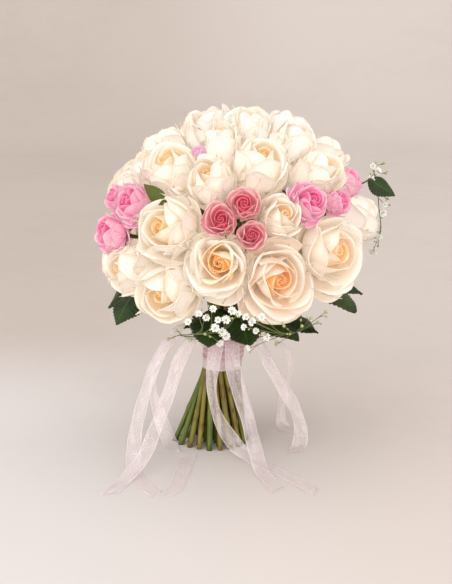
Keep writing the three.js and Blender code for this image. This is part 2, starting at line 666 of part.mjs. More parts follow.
function breathFront() {
  const start = around(-9.5, COLLAR.reach, COLLAR.height);
  const hub = around(-12, 27, 121.5);
  const near = (at, column, row, reach = 152) => [at, seenPlace(column, row, reach)];
  return [
    {
      route: [
        start, hub, around(-30, 52, 119), around(-38, 86, 122), around(-32, 108, 130),
        around(-18, 121, 139), around(-4, 124, 145),
      ],
      florets: [
        near(0.86, 200, 313), near(0.9, 206, 317), near(0.8, 189, 322), near(0.98, 217, 328),
        near(1, 223, 320), near(1, 230, 336, 146), near(0.95, 221, 343, 140), near(1, 232, 311),
      ],
      buds: [near(0.7, 176, 330, 140), near(0.64, 168, 339, 134), near(0.7, 190, 340, 136), near(0.8, 205, 334, 146)],
    },
    {
      route: [
        along(hub, point(-1, 0, 0), 1), around(14, 36, 118.5), around(38, 56, 118), around(52, 88, 124),
        around(50, 114, 130), around(36, 130, 135),
      ],
      florets: [
        near(1, 244, 326), near(1, 252, 321, 156), near(1, 262, 316, 158), near(0.96, 266, 337, 150),
        near(0.92, 249, 348, 138), near(0.84, 306, 318, 148), near(0.78, 320, 328, 140),
      ],
      buds: [near(0.9, 290, 334, 144), near(0.74, 332, 336, 134), near(0.88, 276, 345, 138), near(0.8, 311, 341, 136)],
    },
  ];
}

function breathRight(blooms) {
  const { azimuth, elevation } = PASSAGES.sprayRight;
  const way = direction(azimuth, elevation);
  const neighbour = blooms.find((b) => b.name === "rose_half_24");
  const route = [
    besideStem(neighbour, way, 1), along(HEAD_CENTRE, way, 96), along(HEAD_CENTRE, way, 124),
    along(HEAD_CENTRE, way, 154), point(175, 34, 236), point(172, 38, 262), point(164, 30, 284),
  ];
  const florets = [
    [1, point(172, 20, 287)], [1, point(160, 20, 285)], [0.86, point(163, 27, 270)],
    [0.68, point(178, 20, 242)], [0.6, point(171, 18, 217)], [0.54, point(170, 12, 193)],
  ];
  const buds = [[0.92, point(178, 26, 270)], [0.76, point(184, 36, 250)], [0.97, point(166, 40, 292)]];
  return [{ route, florets, buds }];
}

const passages = Object.values(PASSAGES).map((p) => ({
  axis: direction(p.azimuth, p.elevation),
  halfAngle: degrees(p.halfAngle),
}));
const blooms = bloomList();
const sites = [...blooms, ...passages];
for (const bloom of blooms) {
  const colour = bloom.kind === "spray" ? COLOURS.pink : COLOURS.cream;
  add(bloom.name, bloomGeometry(bloom, sites), colour);
}
add("stems", stemsGeometry(blooms), COLOURS.stem);
addBinding();
for (const [name, places] of Object.entries(RIBBONS)) {
  add(name, ribbonGeometry(places, Math.round(1.6 * places.length)), COLOURS.organza);
}
for (const [name, twigs] of Object.entries(LEAFY)) add(name, leafyStalk(twigs), COLOURS.leaf);
add("leaf_upper_right", leafyStalk(leafRight(blooms)), COLOURS.leaf);
add("babys_breath_front", breathSpray(breathFront()), COLOURS.floret);
add("babys_breath_right", breathSpray(breathRight(blooms)), COLOURS.floret);

export default bouquet;
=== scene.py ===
# %% [markdown]
# # A bridal bouquet, dressed around its CAD frame
# Cream roses and pink spray roses stand on a fan of cut stems, with leaves, baby's breath, a wound
# binding and sheer ribbons. The CAD model already says where every bloom, stem and ribbon is, so each
# step below builds the fine form of one kind of piece in the place that its CAD node holds.

import math

import bpy
import numpy as np
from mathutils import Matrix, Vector


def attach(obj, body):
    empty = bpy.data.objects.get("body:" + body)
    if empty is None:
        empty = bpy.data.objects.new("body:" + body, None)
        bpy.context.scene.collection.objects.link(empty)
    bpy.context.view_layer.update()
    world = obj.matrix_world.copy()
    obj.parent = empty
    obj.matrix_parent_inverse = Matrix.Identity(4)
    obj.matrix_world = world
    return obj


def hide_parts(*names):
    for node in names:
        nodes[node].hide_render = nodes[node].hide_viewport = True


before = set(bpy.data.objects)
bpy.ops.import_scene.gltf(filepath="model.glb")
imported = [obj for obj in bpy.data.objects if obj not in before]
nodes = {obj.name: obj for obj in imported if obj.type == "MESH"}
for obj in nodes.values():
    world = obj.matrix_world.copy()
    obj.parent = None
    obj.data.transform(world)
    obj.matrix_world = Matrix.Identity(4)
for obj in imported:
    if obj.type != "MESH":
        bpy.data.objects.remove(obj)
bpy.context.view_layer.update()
print("CAD nodes:", len(nodes))

# %% [markdown]
# ## The camera
# The camera looks slightly down on the bouquet from a metre and a half away. A long lens keeps the
# perspective gentle. The lens is worked out so that one pixel of the picture is one millimetre at the
# middle of the bouquet, because then a place can be read straight from the photograph.

# %% Camera
MM = 0.001
PICTURE = (452, 584)  # columns and rows
RISE = math.radians(15)
DISTANCE = 1500.0
TARGET = np.array([12.0, 0.0, 156.0])
FORWARD = np.array([0, math.cos(RISE), -math.sin(RISE)])
UPWARD = np.array([0, math.sin(RISE), math.cos(RISE)])
EYE = TARGET - FORWARD * DISTANCE

camera = bpy.data.objects.new("camera", bpy.data.cameras.new("camera"))
bpy.context.scene.collection.objects.link(camera)
bpy.context.scene.camera = camera
camera.data.lens = camera.data.sensor_width * DISTANCE / PICTURE[1]
camera.location = Vector(EYE * MM)
camera.rotation_mode = "QUATERNION"
camera.rotation_quaternion = Vector(FORWARD).to_track_quat("-Z", "Y")
camera.data.clip_end = 50
print("lens:", round(camera.data.lens, 1), "mm")

# %% [markdown]
# ## Meshes from grids
# A petal, a leaf and a ribbon are all thin sheets, so most pieces here start as a grid of points with a
# front and a back face. `shell` joins the two with a rim, which gives a closed mesh. The rim's faces and
# a rod's end caps are flat shaded, so that the light on the wide faces stays even up to their margins.
# A Solidify modifier could thicken a sheet too, but here nothing is left to a modifier, and the mesh is
# what the code says. A `Pile` collects many such parts, with marks on their points that the materials
# read later, and makes one object.

# %% Small helpers
def unit(v):
    v = np.asarray(v, float)
    return v / np.linalg.norm(v, axis=-1, keepdims=True)


def smooth(low, high, x):
    """Soft step from 0 at low to 1 at high."""
    t = np.clip((x - low) / (high - low), 0, 1)
    return t * t * (3 - 2 * t)


def lengths_along(line):
    """How far each point of a line is from its start, along the line."""
    return np.concatenate([[0], np.cumsum(np.linalg.norm(np.diff(line, axis=0), axis=1))])


def spun(points, turn):
    """The points turned about the z axis."""
    c, s = math.cos(turn), math.sin(turn)
    return points @ np.array([[c, s, 0], [-s, c, 0], [0, 0, 1]])


# %% Shell and tube
def shell(front, back):
    """Points, faces and the number of flat faces at their end, for a closed sheet of two grids."""
    rows, columns = front.shape[:2]
    index = np.arange(rows * columns).reshape(rows, columns)
    corners = [index[:-1, :-1], index[:-1, 1:], index[1:, 1:], index[1:, :-1]]
    quads = np.stack(corners, -1).reshape(-1, 4)
    loop = np.concatenate([index[0, :-1], index[:-1, -1], index[-1, :0:-1], index[:0:-1, 0]])
    far = np.roll(loop, -1)
    n = rows * columns
    rim = np.stack([far, loop, loop + n, far + n], -1)
    points = np.concatenate([front.reshape(-1, 3), back.reshape(-1, 3)])
    return points, np.concatenate([quads, quads[:, ::-1] + n, rim]).tolist(), len(rim)


def tube(path, radii, sides):
    """A round rod along a path, closed with a flat cap at each end."""
    path = np.asarray(path, float)
    run = unit(np.gradient(path, axis=0))
    side = np.cross(run[0], [0.31, 0.17, 0.93])
    turn = np.linspace(0, 2 * np.pi, sides, endpoint=False)[:, None]
    rings = []
    for place, forward, radius in zip(path, run, np.broadcast_to(radii, len(path))):
        side = unit(side - forward * (side @ forward))
        rings.append(place + radius * (np.cos(turn) * side + np.sin(turn) * np.cross(forward, side)))
    index = np.arange(len(rings) * sides).reshape(-1, sides)
    nearby = np.roll(index, -1, axis=1)
    corners = [index[:-1], nearby[:-1], nearby[1:], index[1:]]
    faces = np.stack(corners, -1).reshape(-1, 4).tolist()
    caps = [index[0, ::-1].tolist(), index[-1].tolist()]
    return np.concatenate(rings), faces + caps, len(caps)


# %% Pile
class Pile:
    """Collects parts in millimetres, each with a finish and marks, and makes them one object."""

    def __init__(self, *finishes):
        self.finishes = finishes
        self.points, self.faces, self.finish_ids, self.rounded = [], [], [], []
        self.marks, self.count = {}, 0

    def add(self, part, finish=0, **marks):
        points, faces, flat = part
        self.faces += [[i + self.count for i in face] for face in faces]
        self.rounded += [True] * (len(faces) - flat) + [False] * flat
        self.finish_ids += [finish] * len(faces)
        self.points.append(points)
        self.count += len(points)
        for name, value in marks.items():
            self.marks.setdefault(name, []).append(np.broadcast_to(value, (len(points), 3)))

    def piece(self, name, slot, node):
        """One object of all the parts, which rides on the root body in place of a CAD node."""
        mesh = bpy.data.meshes.new(name)
        mesh.from_pydata((np.concatenate(self.points) * MM).tolist(), [], self.faces)
        mesh.polygons.foreach_set("material_index", self.finish_ids)
        mesh.polygons.foreach_set("use_smooth", self.rounded)
        for mark, values in self.marks.items():
            attribute = mesh.attributes.new(mark, "FLOAT_VECTOR", "POINT")
            attribute.data.foreach_set("vector", np.concatenate(values).astype(np.float32).ravel())
        for finish in self.finishes:
            mesh.materials.append(finish)
        made = bpy.data.objects.new(name, mesh)
        bpy.context.scene.collection.objects.link(made)
        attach(made, "root")
        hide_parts(node)
        return made


# %% Soft grids
def softened(grid, rounds):
    """The grid with each point drawn halfway to its neighbours, along and across."""
    for _ in range(rounds):
        for axis in (0, 1):
            inner = np.swapaxes(grid, 0, axis).copy()
            inner[1:-1] = 0.5 * inner[1:-1] + 0.25 * (inner[:-2] + inner[2:])
            grid = np.swapaxes(inner, 0, axis)
    return grid


def surface_normals(grid, rounds=0):
    """Unit normals of a grid of points, softened over neighbours."""
    along, across = np.gradient(grid, axis=(0, 1))
    return unit(softened(unit(np.cross(across, along) + 1e-12), rounds) + 1e-12)


# %% [markdown]
# ## Shader maths as plain expressions
# A material is a network of nodes, and a formula such as `1 - mask * 0.5` would take several lines of
# node making. `Socket` wraps one output, so that Python's own operators add the Math nodes. `Finish`
# owns a material. Its `node` method makes any other node: the type, then its settings, then what its
# sockets hold or are fed by.

# %% Socket and Finish
def operator_pair(operation):
    """A Python operator and its reflected form, each of which adds a Math node."""

    def plain(self, other):
        return self.maths(operation, self, other)

    def reflected(self, other):
        return self.maths(operation, other, self)

    return plain, reflected


class Socket:
    """One output of a node, which can be added, multiplied and so on."""

    def __init__(self, finish, end):
        self.finish, self.end = finish, end

    def maths(self, operation, *values):
        """A Math node of numbers or sockets."""
        return self.finish.node("ShaderNodeMath", {"operation": operation}, dict(enumerate(values)))

    __add__, __radd__ = operator_pair("ADD")
    __sub__, __rsub__ = operator_pair("SUBTRACT")
    __mul__, __rmul__ = operator_pair("MULTIPLY")
    __truediv__, __rtruediv__ = operator_pair("DIVIDE")
    __pow__, __rpow__ = operator_pair("POWER")

    def __abs__(self):
        return self.maths("ABSOLUTE", self)

    def at_least(self, other):
        return self.maths("MAXIMUM", self, other)

    def at_most(self, other):
        return self.maths("MINIMUM", self, other)

    def step(self, low, high):
        """Soft step from 0 at low to 1 at high."""
        settings = {"interpolation_type": "SMOOTHSTEP"}
        sockets = {"Value": self, "From Min": low, "From Max": high}
        return self.finish.node("ShaderNodeMapRange", settings, sockets)


def shade(red, green, blue):
    """Linear colour for a shader, from 0 to 255 numbers as a colour picker shows them."""
    parts = [c / 255 for c in (red, green, blue)]
    return (*[c / 12.92 if c < 0.04045 else ((c + 0.055) / 1.055) ** 2.4 for c in parts], 1)


class Finish:
    """A material with one Principled shader, whose even values are set on its own sockets."""

    def __init__(self, name, **even):
        self.material = bpy.data.materials.new(name)
        self.material.use_nodes = True
        self.tree = self.material.node_tree
        self.shader = self.tree.nodes["Principled BSDF"]
        for key, value in even.items():
            self.shader.inputs[key.replace("_", " ")].default_value = value

    def node(self, kind, settings=(), sockets=(), output=0):
        """Any node: its settings come first, then what its sockets hold or are fed by."""
        made = self.tree.nodes.new(kind)
        for name, value in dict(settings).items():
            setattr(made, name, value)
        for key, value in dict(sockets).items():
            self.feed(made.inputs[key], value)
        return Socket(self, made.outputs[output])

    def feed(self, socket, value):
        if isinstance(value, Socket):
            self.tree.links.new(value.end, socket)
        else:
            socket.default_value = value

    def mix(self, share, first, second):
        """A colour between two colours."""
        sockets = {0: share, 6: first, 7: second}
        return self.node("ShaderNodeMix", {"data_type": "RGBA"}, sockets, 2)

    def here(self):
        """The place on the object, in metres."""
        return self.node("ShaderNodeTexCoord", (), (), 3)

    def parts(self, place):
        """The x, y and z of a place."""
        return [self.node("ShaderNodeSeparateXYZ", (), {0: place}, i) for i in range(3)]

    def mark(self, name):
        """The three numbers of a mark on the mesh."""
        return self.parts(self.node("ShaderNodeAttribute", {"attribute_name": name}, (), 1))

    def noise(self, scale, detail=2.0, where=None):
        """Soft noise from 0 to 1, over the object unless a place is given."""
        sockets = {"Vector": where or self.here(), "Scale": scale, "Detail": detail}
        return self.node("ShaderNodeTexNoise", (), sockets)

    def place(self, x, y, z=0.0):
        return self.node("ShaderNodeCombineXYZ", (), {0: x, 1: y, 2: z})

    def bump(self, height, distance, strength=1.0):
        sockets = {"Strength": strength, "Distance": distance, "Height": height}
        self.feed(self.shader.inputs["Normal"], self.node("ShaderNodeBump", (), sockets))

    def set(self, name, value):
        self.feed(self.shader.inputs[name], value)


# %% [markdown]
# ## Petal finishes
# A rose petal is thin, a little translucent and velvety. A cream rose is ivory at its margins and
# deepens to peach or gold between the petals, where light has passed through several of them. The
# colour depends on how far a point is from its petal's margin and how near its petal is to the heart,
# and both are marks on the mesh. Light that has come through the petals makes them glow a little, in a
# deeper colour and more weakly near their bases. Fine veins fan out from the base, in colour and in
# relief. A painted picture could hold all this, but a formula fits every petal, whatever its size.

# %% Petal finishes
BLACK = shade(0, 0, 0)


def petal_finish(name, rim, body, deep, heart, blush, edge, glow, fine=1.0):
    """A petal's material. Glow is how far out the heart's colour reaches, from 0 to 1.

    Fine is how many times closer to the margin the colours change, for small blooms.
    """
    finish = Finish(
        name, Sheen_Weight=0.08, Sheen_Roughness=0.4, Specular_IOR_Level=0.2, Emission_Strength=0.27,
    )
    across, rise, margin = finish.mark("petal_place")
    margin = margin * fine
    layer, chance, outside = finish.mark("petal_kind")
    veins = finish.noise(1.0, 3.0, finish.place(across * 15, rise * 1.4, chance * 40))
    clouds = finish.noise(34.0, 2.0)
    low = (margin / (3.0 + layer * 13)).step(0.0, 1.0)
    near = 1 - layer.step(0.35 * glow, glow)
    # Near the heart this is the heart's own colour. Deep between the petals it is painted shade, warm as
    # light that came through them.
    heart_tone_and_shade = near * (0.75 + low * 0.25) + low * (0.6 - layer * 0.44) * (1 - outside * 0.75)
    heart_tone_and_shade = (heart_tone_and_shade * (0.85 + clouds * 0.3)).step(0.0, 0.95)
    pale = finish.mix((margin / (1.0 + layer * 9)).step(0.0, 1.0), rim, body)
    colour = finish.mix(heart_tone_and_shade, pale, deep)
    colour = finish.mix(near * (0.3 + low * 0.7) * heart_tone_and_shade, colour, heart)
    # Painted shade: the heart's colour, darker still, deep in the crevices at the foot of the heart's
    # petals.
    crevice_shade = tuple(part * part for part in heart)
    colour = finish.mix(near * low ** 3.0 * 0.3 * fine, colour, crevice_shade)
    rosy = outside * layer.step(0.2, 0.8) * margin.step(0.5, 9.0) * (0.35 + chance * 0.65)
    colour = finish.mix(rosy * (1 - near), colour, blush)
    worn = (1 - margin.step(0.0, 1.0)) * layer.step(0.3, 0.8) * (chance * 1.8 - 0.9).step(0.0, 1.0)
    colour = finish.mix(worn * 0.6, colour, edge)
    colour = finish.mix((veins - 0.45).step(0.0, 0.4) * 0.08, colour, deep)
    # Painted shade along each margin: a deeper, darker colour there tones down the light that the rolled
    # rims and the rim faces catch.
    margin_shade = 1 - margin.step(0.0, 1.6)
    colour = finish.mix((1 - margin.step(0.0, 0.2)) * 0.4 + margin_shade * 0.25, colour, deep)
    finish.set("Base Color", finish.mix(0.17 + margin_shade * 0.05, colour, BLACK))
    # The emission is a painted glow for light that came through the petals. In the hollow near each
    # petal's base it is deeper in colour and weaker, which paints shade there.
    hollow = 1 - rise.step(0.15, 0.6)
    through_petals = finish.mix(0.5 - layer * 0.4 + hollow * 0.35, colour, deep)
    glow_share = (0.5 + low * 0.28 + heart_tone_and_shade * 0.25) * (1 - hollow * 0.6)
    finish.set("Emission Color", finish.mix(glow_share, BLACK, through_petals))
    finish.set("Roughness", 0.5 + clouds * 0.15)
    finish.bump(veins * 0.7 + clouds * 0.3, 0.0005, 0.25)
    return finish.material


PETALS = {
    "sunset": petal_finish(
        "petal_white_orange_heart", rim=shade(251, 245, 238), body=shade(251, 243, 233),
        deep=shade(251, 214, 160), heart=shade(252, 202, 106), blush=shade(250, 236, 224),
        edge=shade(240, 226, 206), glow=0.56,
    ),
    "peach": petal_finish(
        "petal_peach_orange_heart", rim=shade(248, 240, 230), body=shade(246, 232, 217),
        deep=shade(249, 209, 158), heart=shade(248, 184, 104), blush=shade(249, 230, 215),
        edge=shade(240, 218, 194), glow=0.46,
    ),
    "apricot": petal_finish(
        "petal_peach_yellow_heart", rim=shade(249, 243, 234), body=shade(248, 236, 220),
        deep=shade(250, 221, 186), heart=shade(247, 210, 130), blush=shade(250, 233, 219),
        edge=shade(240, 220, 194), glow=0.42,
    ),
    "gold": petal_finish(
        "petal_cream_gold_heart", rim=shade(251, 246, 238), body=shade(251, 243, 232),
        deep=shade(250, 221, 174), heart=shade(247, 206, 122), blush=shade(250, 236, 224),
        edge=shade(238, 224, 196), glow=0.42,
    ),
    "ivory": petal_finish(
        "petal_ivory", rim=shade(251, 246, 239), body=shade(251, 244, 235),
        deep=shade(250, 226, 188), heart=shade(247, 217, 146), blush=shade(250, 238, 229),
        edge=shade(236, 228, 202), glow=0.4,
    ),
    "dusty": petal_finish(
        "petal_dusty_rose", rim=shade(246, 214, 208), body=shade(240, 186, 186),
        deep=shade(230, 122, 140), heart=shade(220, 58, 94), blush=shade(244, 204, 198),
        edge=shade(240, 216, 190), glow=0.66, fine=2.3,
    ),
    "bright": petal_finish(
        "petal_bright_pink", rim=shade(250, 214, 224), body=shade(249, 188, 212),
        deep=shade(244, 142, 184), heart=shade(230, 94, 144), blush=shade(249, 208, 212),
        edge=shade(226, 208, 170), glow=0.6, fine=1.8,
    ),
    "pale": petal_finish(
        "petal_pale_pink", rim=shade(252, 232, 238), body=shade(251, 218, 234),
        deep=shade(249, 194, 224), heart=shade(246, 172, 212), blush=shade(250, 226, 232),
        edge=shade(240, 224, 206), glow=0.6, fine=1.8,
    ),
}
print("petal finishes:", ", ".join(PETALS))

# %% [markdown]
# ## One petal
# Seen in section, a petal leaves the base, bellies out and rises to its rim, which is a Bezier curve.
# Across, it wraps round the flower on an arc, turned a little so that one side tucks under the next
# petal and the other lies over the last one. Its margin then rolls outwards as paper rolls round a
# pencil: far at the shoulders and less at the middle, which leaves the pointed tip of a real petal.
# Sculpting one petal and copying it would make every rose alike. With a formula each petal gets its own
# size, roll and waves from its place in the flower.

# %% Petal
def bezier(corners, count):
    t = np.linspace(0, 1, count)[:, None]
    a, b, c, d = np.asarray(corners, float)
    return (1 - t) ** 3 * a + 3 * (1 - t) ** 2 * t * b + 3 * (1 - t) * t * t * c + t ** 3 * d


PETAL_WIDTHS = ([0, 0.25, 0.5, 0.7, 0.88, 1.0], [0.3, 0.64, 0.92, 1.0, 0.92, 0.7])
PETAL_THICKNESS = 0.3


def petal_grid(form, turn, hand, rows, columns, chance):
    """Points of a petal's outer face round the z axis, with its across, rise and margin numbers."""
    # The section runs from the foot to the rim, and on by half of what will roll over.
    reach = form["roll"]
    section = bezier(
        [(form["foot"], form["floor"]), (1.2 * form["belly"], form["floor"]),
         (1.12 * form["belly"], 0.7 * form["top"]), (form["rim"], form["top"])], 40,
    )
    end = unit(section[-1] - section[-2])
    section = np.concatenate([section, section[-1:] + end * 0.5 * reach])
    lengths = lengths_along(section)
    whole = lengths[-1]

    # The tip is lower at the sides of the petal, with a small point in the middle.
    t = np.linspace(0, 1, rows)[:, None]
    part = np.linspace(-1, 1, columns)[None, :]
    u = np.sin(part * 1.42) / math.sin(1.42)
    tip = 1 - 0.17 * np.abs(u) ** 2.6 + form["point"] * np.exp(-((u / 0.3) ** 2))
    v = (0.1 + 0.9 * (1 - (1 - t) ** 1.6)) * tip
    width = form["width"] * np.interp(v, *PETAL_WIDTHS)
    s = np.clip(v, 0, 1) * whole
    radius = np.interp(s, lengths, section[:, 0])
    height = np.interp(s, lengths, section[:, 1]) + np.maximum(v - 1, 0) * whole
    slopes = np.gradient(section, lengths, axis=0)
    lean = np.arctan2(np.interp(s, lengths, slopes[:, 0]), np.interp(s, lengths, slopes[:, 1]))

    # Across, the petal lies on an arc round the flower, which is flatter where it leans out.
    bend = (0.3 + 0.7 * np.cos(lean)) / (form["cup"] * np.maximum(radius, 1.5))
    tilt = form["tilt"]
    arc = u * width / 2 * bend + tilt
    sideways = (np.sin(arc) - math.sin(tilt)) / bend
    inward = (math.cos(tilt) - np.cos(arc)) / bend
    outward = np.stack([np.cos(lean), 0 * lean, -np.sin(lean)], -1)
    grid = np.stack([radius, hand * sideways, height], -1) - outward * inward[..., None]

    # How far each point is from the margin, with the corners rounded.
    to_top = (tip - v) * whole
    to_side = (1 - np.abs(u)) * width / 2
    margin = np.maximum(-2 * np.log(np.exp(-to_top / 2) + np.exp(-to_side / 2)), 0)
    if hand < 0:
        grid, margin, u, v = grid[:, ::-1], margin[:, ::-1], -u[:, ::-1], v[:, ::-1]
        to_top, to_side = to_top[:, ::-1], to_side[:, ::-1]

    # What lies near enough to the margin rolls outwards round a cylinder.
    along, across = np.gradient(grid, axis=(0, 1))
    along, across = unit(along), unit(across)
    normal = unit(np.cross(across, along))
    uneven = 1 + 0.4 * np.sin(u * 2.1 + chance * 6.28)
    start = reach * (0.45 + 0.75 * smooth(0.05, 0.6, np.abs(u))) * uneven * smooth(0.2, 0.55, v)
    rolled = np.maximum(start - margin, 0)
    curl = max(form["curl"], 1e-3)
    near_top = (1 / (to_top + 1) ** 2)[..., None]
    near_side = (np.sign(u) / (to_side + 1) ** 2)[..., None]
    towards = unit(along * near_top + across * near_side)
    grid = grid + towards * (curl * np.sin(rolled / curl) - rolled)[..., None]
    grid = grid + normal * (curl * (1 - np.cos(rolled / curl)))[..., None]

    # Last come small waves along the margin and a slow sway of the whole petal.
    waves = np.sin(u * 5.3 + chance * 20) + 0.6 * np.sin(u * 9.1 + v * 4 + chance * 51)
    sway = np.sin(u * 2.3 + v * 2.7 + chance * 33)
    lift = form["ruffle"] * (waves * np.exp(-margin / 5) + 1.4 * sway * v)
    grid = grid + normal * lift[..., None]
    return spun(grid, turn), np.stack([np.broadcast_to(u, v.shape), v, margin], -1)


# %% [markdown]
# ## How far a rose has opened
# Each kind of bloom is a table over its petals, from the heart at 0 to the outermost at 1: how far out
# and how high the rim stands, how wide the belly is, and how far the margin rolls. Fractions are of the
# bloom's radius or depth. The heart is a spiral, and round it the petals stand in whorls, each given by
# its number of petals and its first and last place in the table. In an open rose the whorls spread
# evenly. In a half open one the middle is still a cup. In a bud nearly all the rims stand round the
# small heart, and what shows is the smooth outer faces, with their edges crossing. Guard petals, beyond
# place 1, spread low between the blooms, so that no stems show there.

# %% Kinds of bloom
KINDS = {
    "open": {
        "whorls": [(9, 0.0, 0.32), (4, 0.42, 0.50), (4, 0.66, 0.74), (5, 0.94, 1.0), (5, 1.2, 1.2)],
        "at": [0, 0.15, 0.30, 0.46, 0.70, 1, 1.2],
        "rim": [0.05, 0.13, 0.23, 0.36, 0.59, 0.84, 1.14],
        "top": [0.86, 0.93, 0.97, 0.96, 0.86, 0.68, 0.44],
        "belly": [0.13, 0.21, 0.33, 0.46, 0.58, 0.66, 0.8],
        "width": [0.6, 0.85, 1.1, 1.4, 1.8, 1.95, 1.6],
        "cup": [1, 1, 1.0, 1.06, 1.16, 1.45, 1.8],
        "roll": [0.03, 0.06, 0.1, 0.17, 0.29, 0.38, 0.1],
        "angle": [40, 65, 85, 100, 115, 125, 50],
        "tilt": [15, 14, 12, 10, 9, 8, 9],
        "ruffle": [0.003, 0.004, 0.006, 0.009, 0.014, 0.018, 0.012],
    },
    "half": {
        "whorls": [(8, 0.0, 0.36), (4, 0.48, 0.58), (4, 0.68, 0.76), (5, 0.92, 1.0), (5, 1.2, 1.2)],
        "at": [0, 0.18, 0.36, 0.54, 0.74, 1, 1.2],
        "rim": [0.05, 0.14, 0.26, 0.39, 0.61, 0.86, 1.14],
        "top": [0.88, 0.94, 1.0, 1.0, 0.92, 0.74, 0.46],
        "belly": [0.15, 0.27, 0.44, 0.62, 0.74, 0.74, 0.8],
        "width": [0.65, 0.9, 1.2, 1.5, 1.65, 1.6, 1.6],
        "cup": [1, 1, 1, 1.02, 1.14, 1.45, 1.8],
        "roll": [0.03, 0.05, 0.09, 0.17, 0.29, 0.38, 0.1],
        "angle": [40, 60, 75, 100, 115, 125, 50],
        "tilt": [15, 14, 12, 11, 10, 9, 9],
        "ruffle": [0.003, 0.004, 0.005, 0.008, 0.014, 0.018, 0.012],
    },
    "bud": {
        "whorls": [(7, 0.0, 0.34), (4, 0.46, 0.56), (4, 0.68, 0.78), (4, 0.92, 1.0), (5, 1.2, 1.2)],
        "at": [0, 0.2, 0.36, 0.52, 0.74, 1, 1.2],
        "rim": [0.06, 0.15, 0.27, 0.36, 0.6, 0.88, 1.12],
        "top": [0.88, 0.94, 0.99, 1.0, 0.94, 0.78, 0.5],
        "belly": [0.18, 0.3, 0.5, 0.76, 0.84, 0.8, 0.82],
        "width": [0.75, 1.0, 1.4, 1.8, 1.85, 1.65, 1.6],
        "cup": [1, 1, 1, 1.02, 1.2, 1.7, 1.8],
        "roll": [0.03, 0.05, 0.1, 0.17, 0.28, 0.36, 0.1],
        "angle": [35, 60, 80, 105, 120, 125, 50],
        "tilt": [15, 15, 14, 13, 11, 9, 9],
        "ruffle": [0.003, 0.004, 0.005, 0.007, 0.013, 0.018, 0.012],
    },
    "spray": {
        "whorls": [(11, 0.0, 0.4), (6, 0.5, 0.64), (6, 0.72, 0.84), (5, 0.95, 1.0), (5, 1.2, 1.2)],
        "at": [0, 0.2, 0.42, 0.62, 0.82, 1, 1.2],
        "rim": [0.07, 0.2, 0.4, 0.6, 0.84, 1.03, 1.2],
        "top": [0.88, 0.94, 0.97, 0.9, 0.76, 0.58, 0.4],
        "belly": [0.14, 0.25, 0.42, 0.56, 0.68, 0.72, 0.8],
        "width": [0.6, 0.75, 0.95, 1.15, 1.35, 1.45, 1.5],
        "cup": [1, 1, 1.05, 1.15, 1.3, 1.6, 1.7],
        "roll": [0.04, 0.08, 0.13, 0.18, 0.25, 0.3, 0.15],
        "angle": [40, 65, 85, 105, 120, 125, 60],
        "tilt": [14, 14, 13, 12, 11, 9, 9],
        "ruffle": [0.01, 0.013, 0.02, 0.03, 0.044, 0.05, 0.04],
    },
}
GOLDEN = math.radians(137.5)


def petal_order(kind):
    """The place in the table of every petal, from the heart outwards."""
    whorls = KINDS[kind]["whorls"]
    return np.concatenate([np.linspace(first, last, count) for count, first, last in whorls])


def form_at(kind, s, radius, depth):
    """The numbers of one petal in millimetres, from its kind's table."""
    table = KINDS[kind]
    rows = [key for key in table if key not in ("whorls", "at")]
    read = {key: float(np.interp(s, table["at"], table[key])) for key in rows}
    roll = read["roll"] * radius
    return {
        "foot": 0.09 * radius, "floor": 0.03 * depth, "belly": read["belly"] * radius,
        "rim": read["rim"] * radius, "top": read["top"] * depth, "width": read["width"] * radius,
        "cup": read["cup"], "roll": roll, "curl": roll / math.radians(read["angle"]),
        "ruffle": read["ruffle"] * radius, "tilt": math.radians(read["tilt"]), "point": 0.03,
    }


print("petals of a bloom:", {kind: len(petal_order(kind)) for kind in KINDS})

# %% [markdown]
# ## Where each bloom sits
# Every CAD bloom points away from the head's centre, and its lowest point is the one nearest to that
# centre. From this the script reads its axis and depth, and how far it may spread each way before it
# meets its neighbours. Petals that come near that limit are eased inwards, so blooms stay side by side.

# %% Bloom frames
HEAD_CENTRE = np.array([20.0, 0.0, 198.0])
CROWN = 1.09  # height of the highest petal tip over a bloom's depth
LIP = 0.75  # where on its depth a bloom is measured across
WAYS_ROUND = 36  # ways round a bloom in which its room is measured
SECTOR, SPRAY_SECTOR = 0.19, 0.36  # how far to each side of such a way points count, in radians
TUCKED = {23: 13.0}  # how far a bloom is pushed down between its neighbours


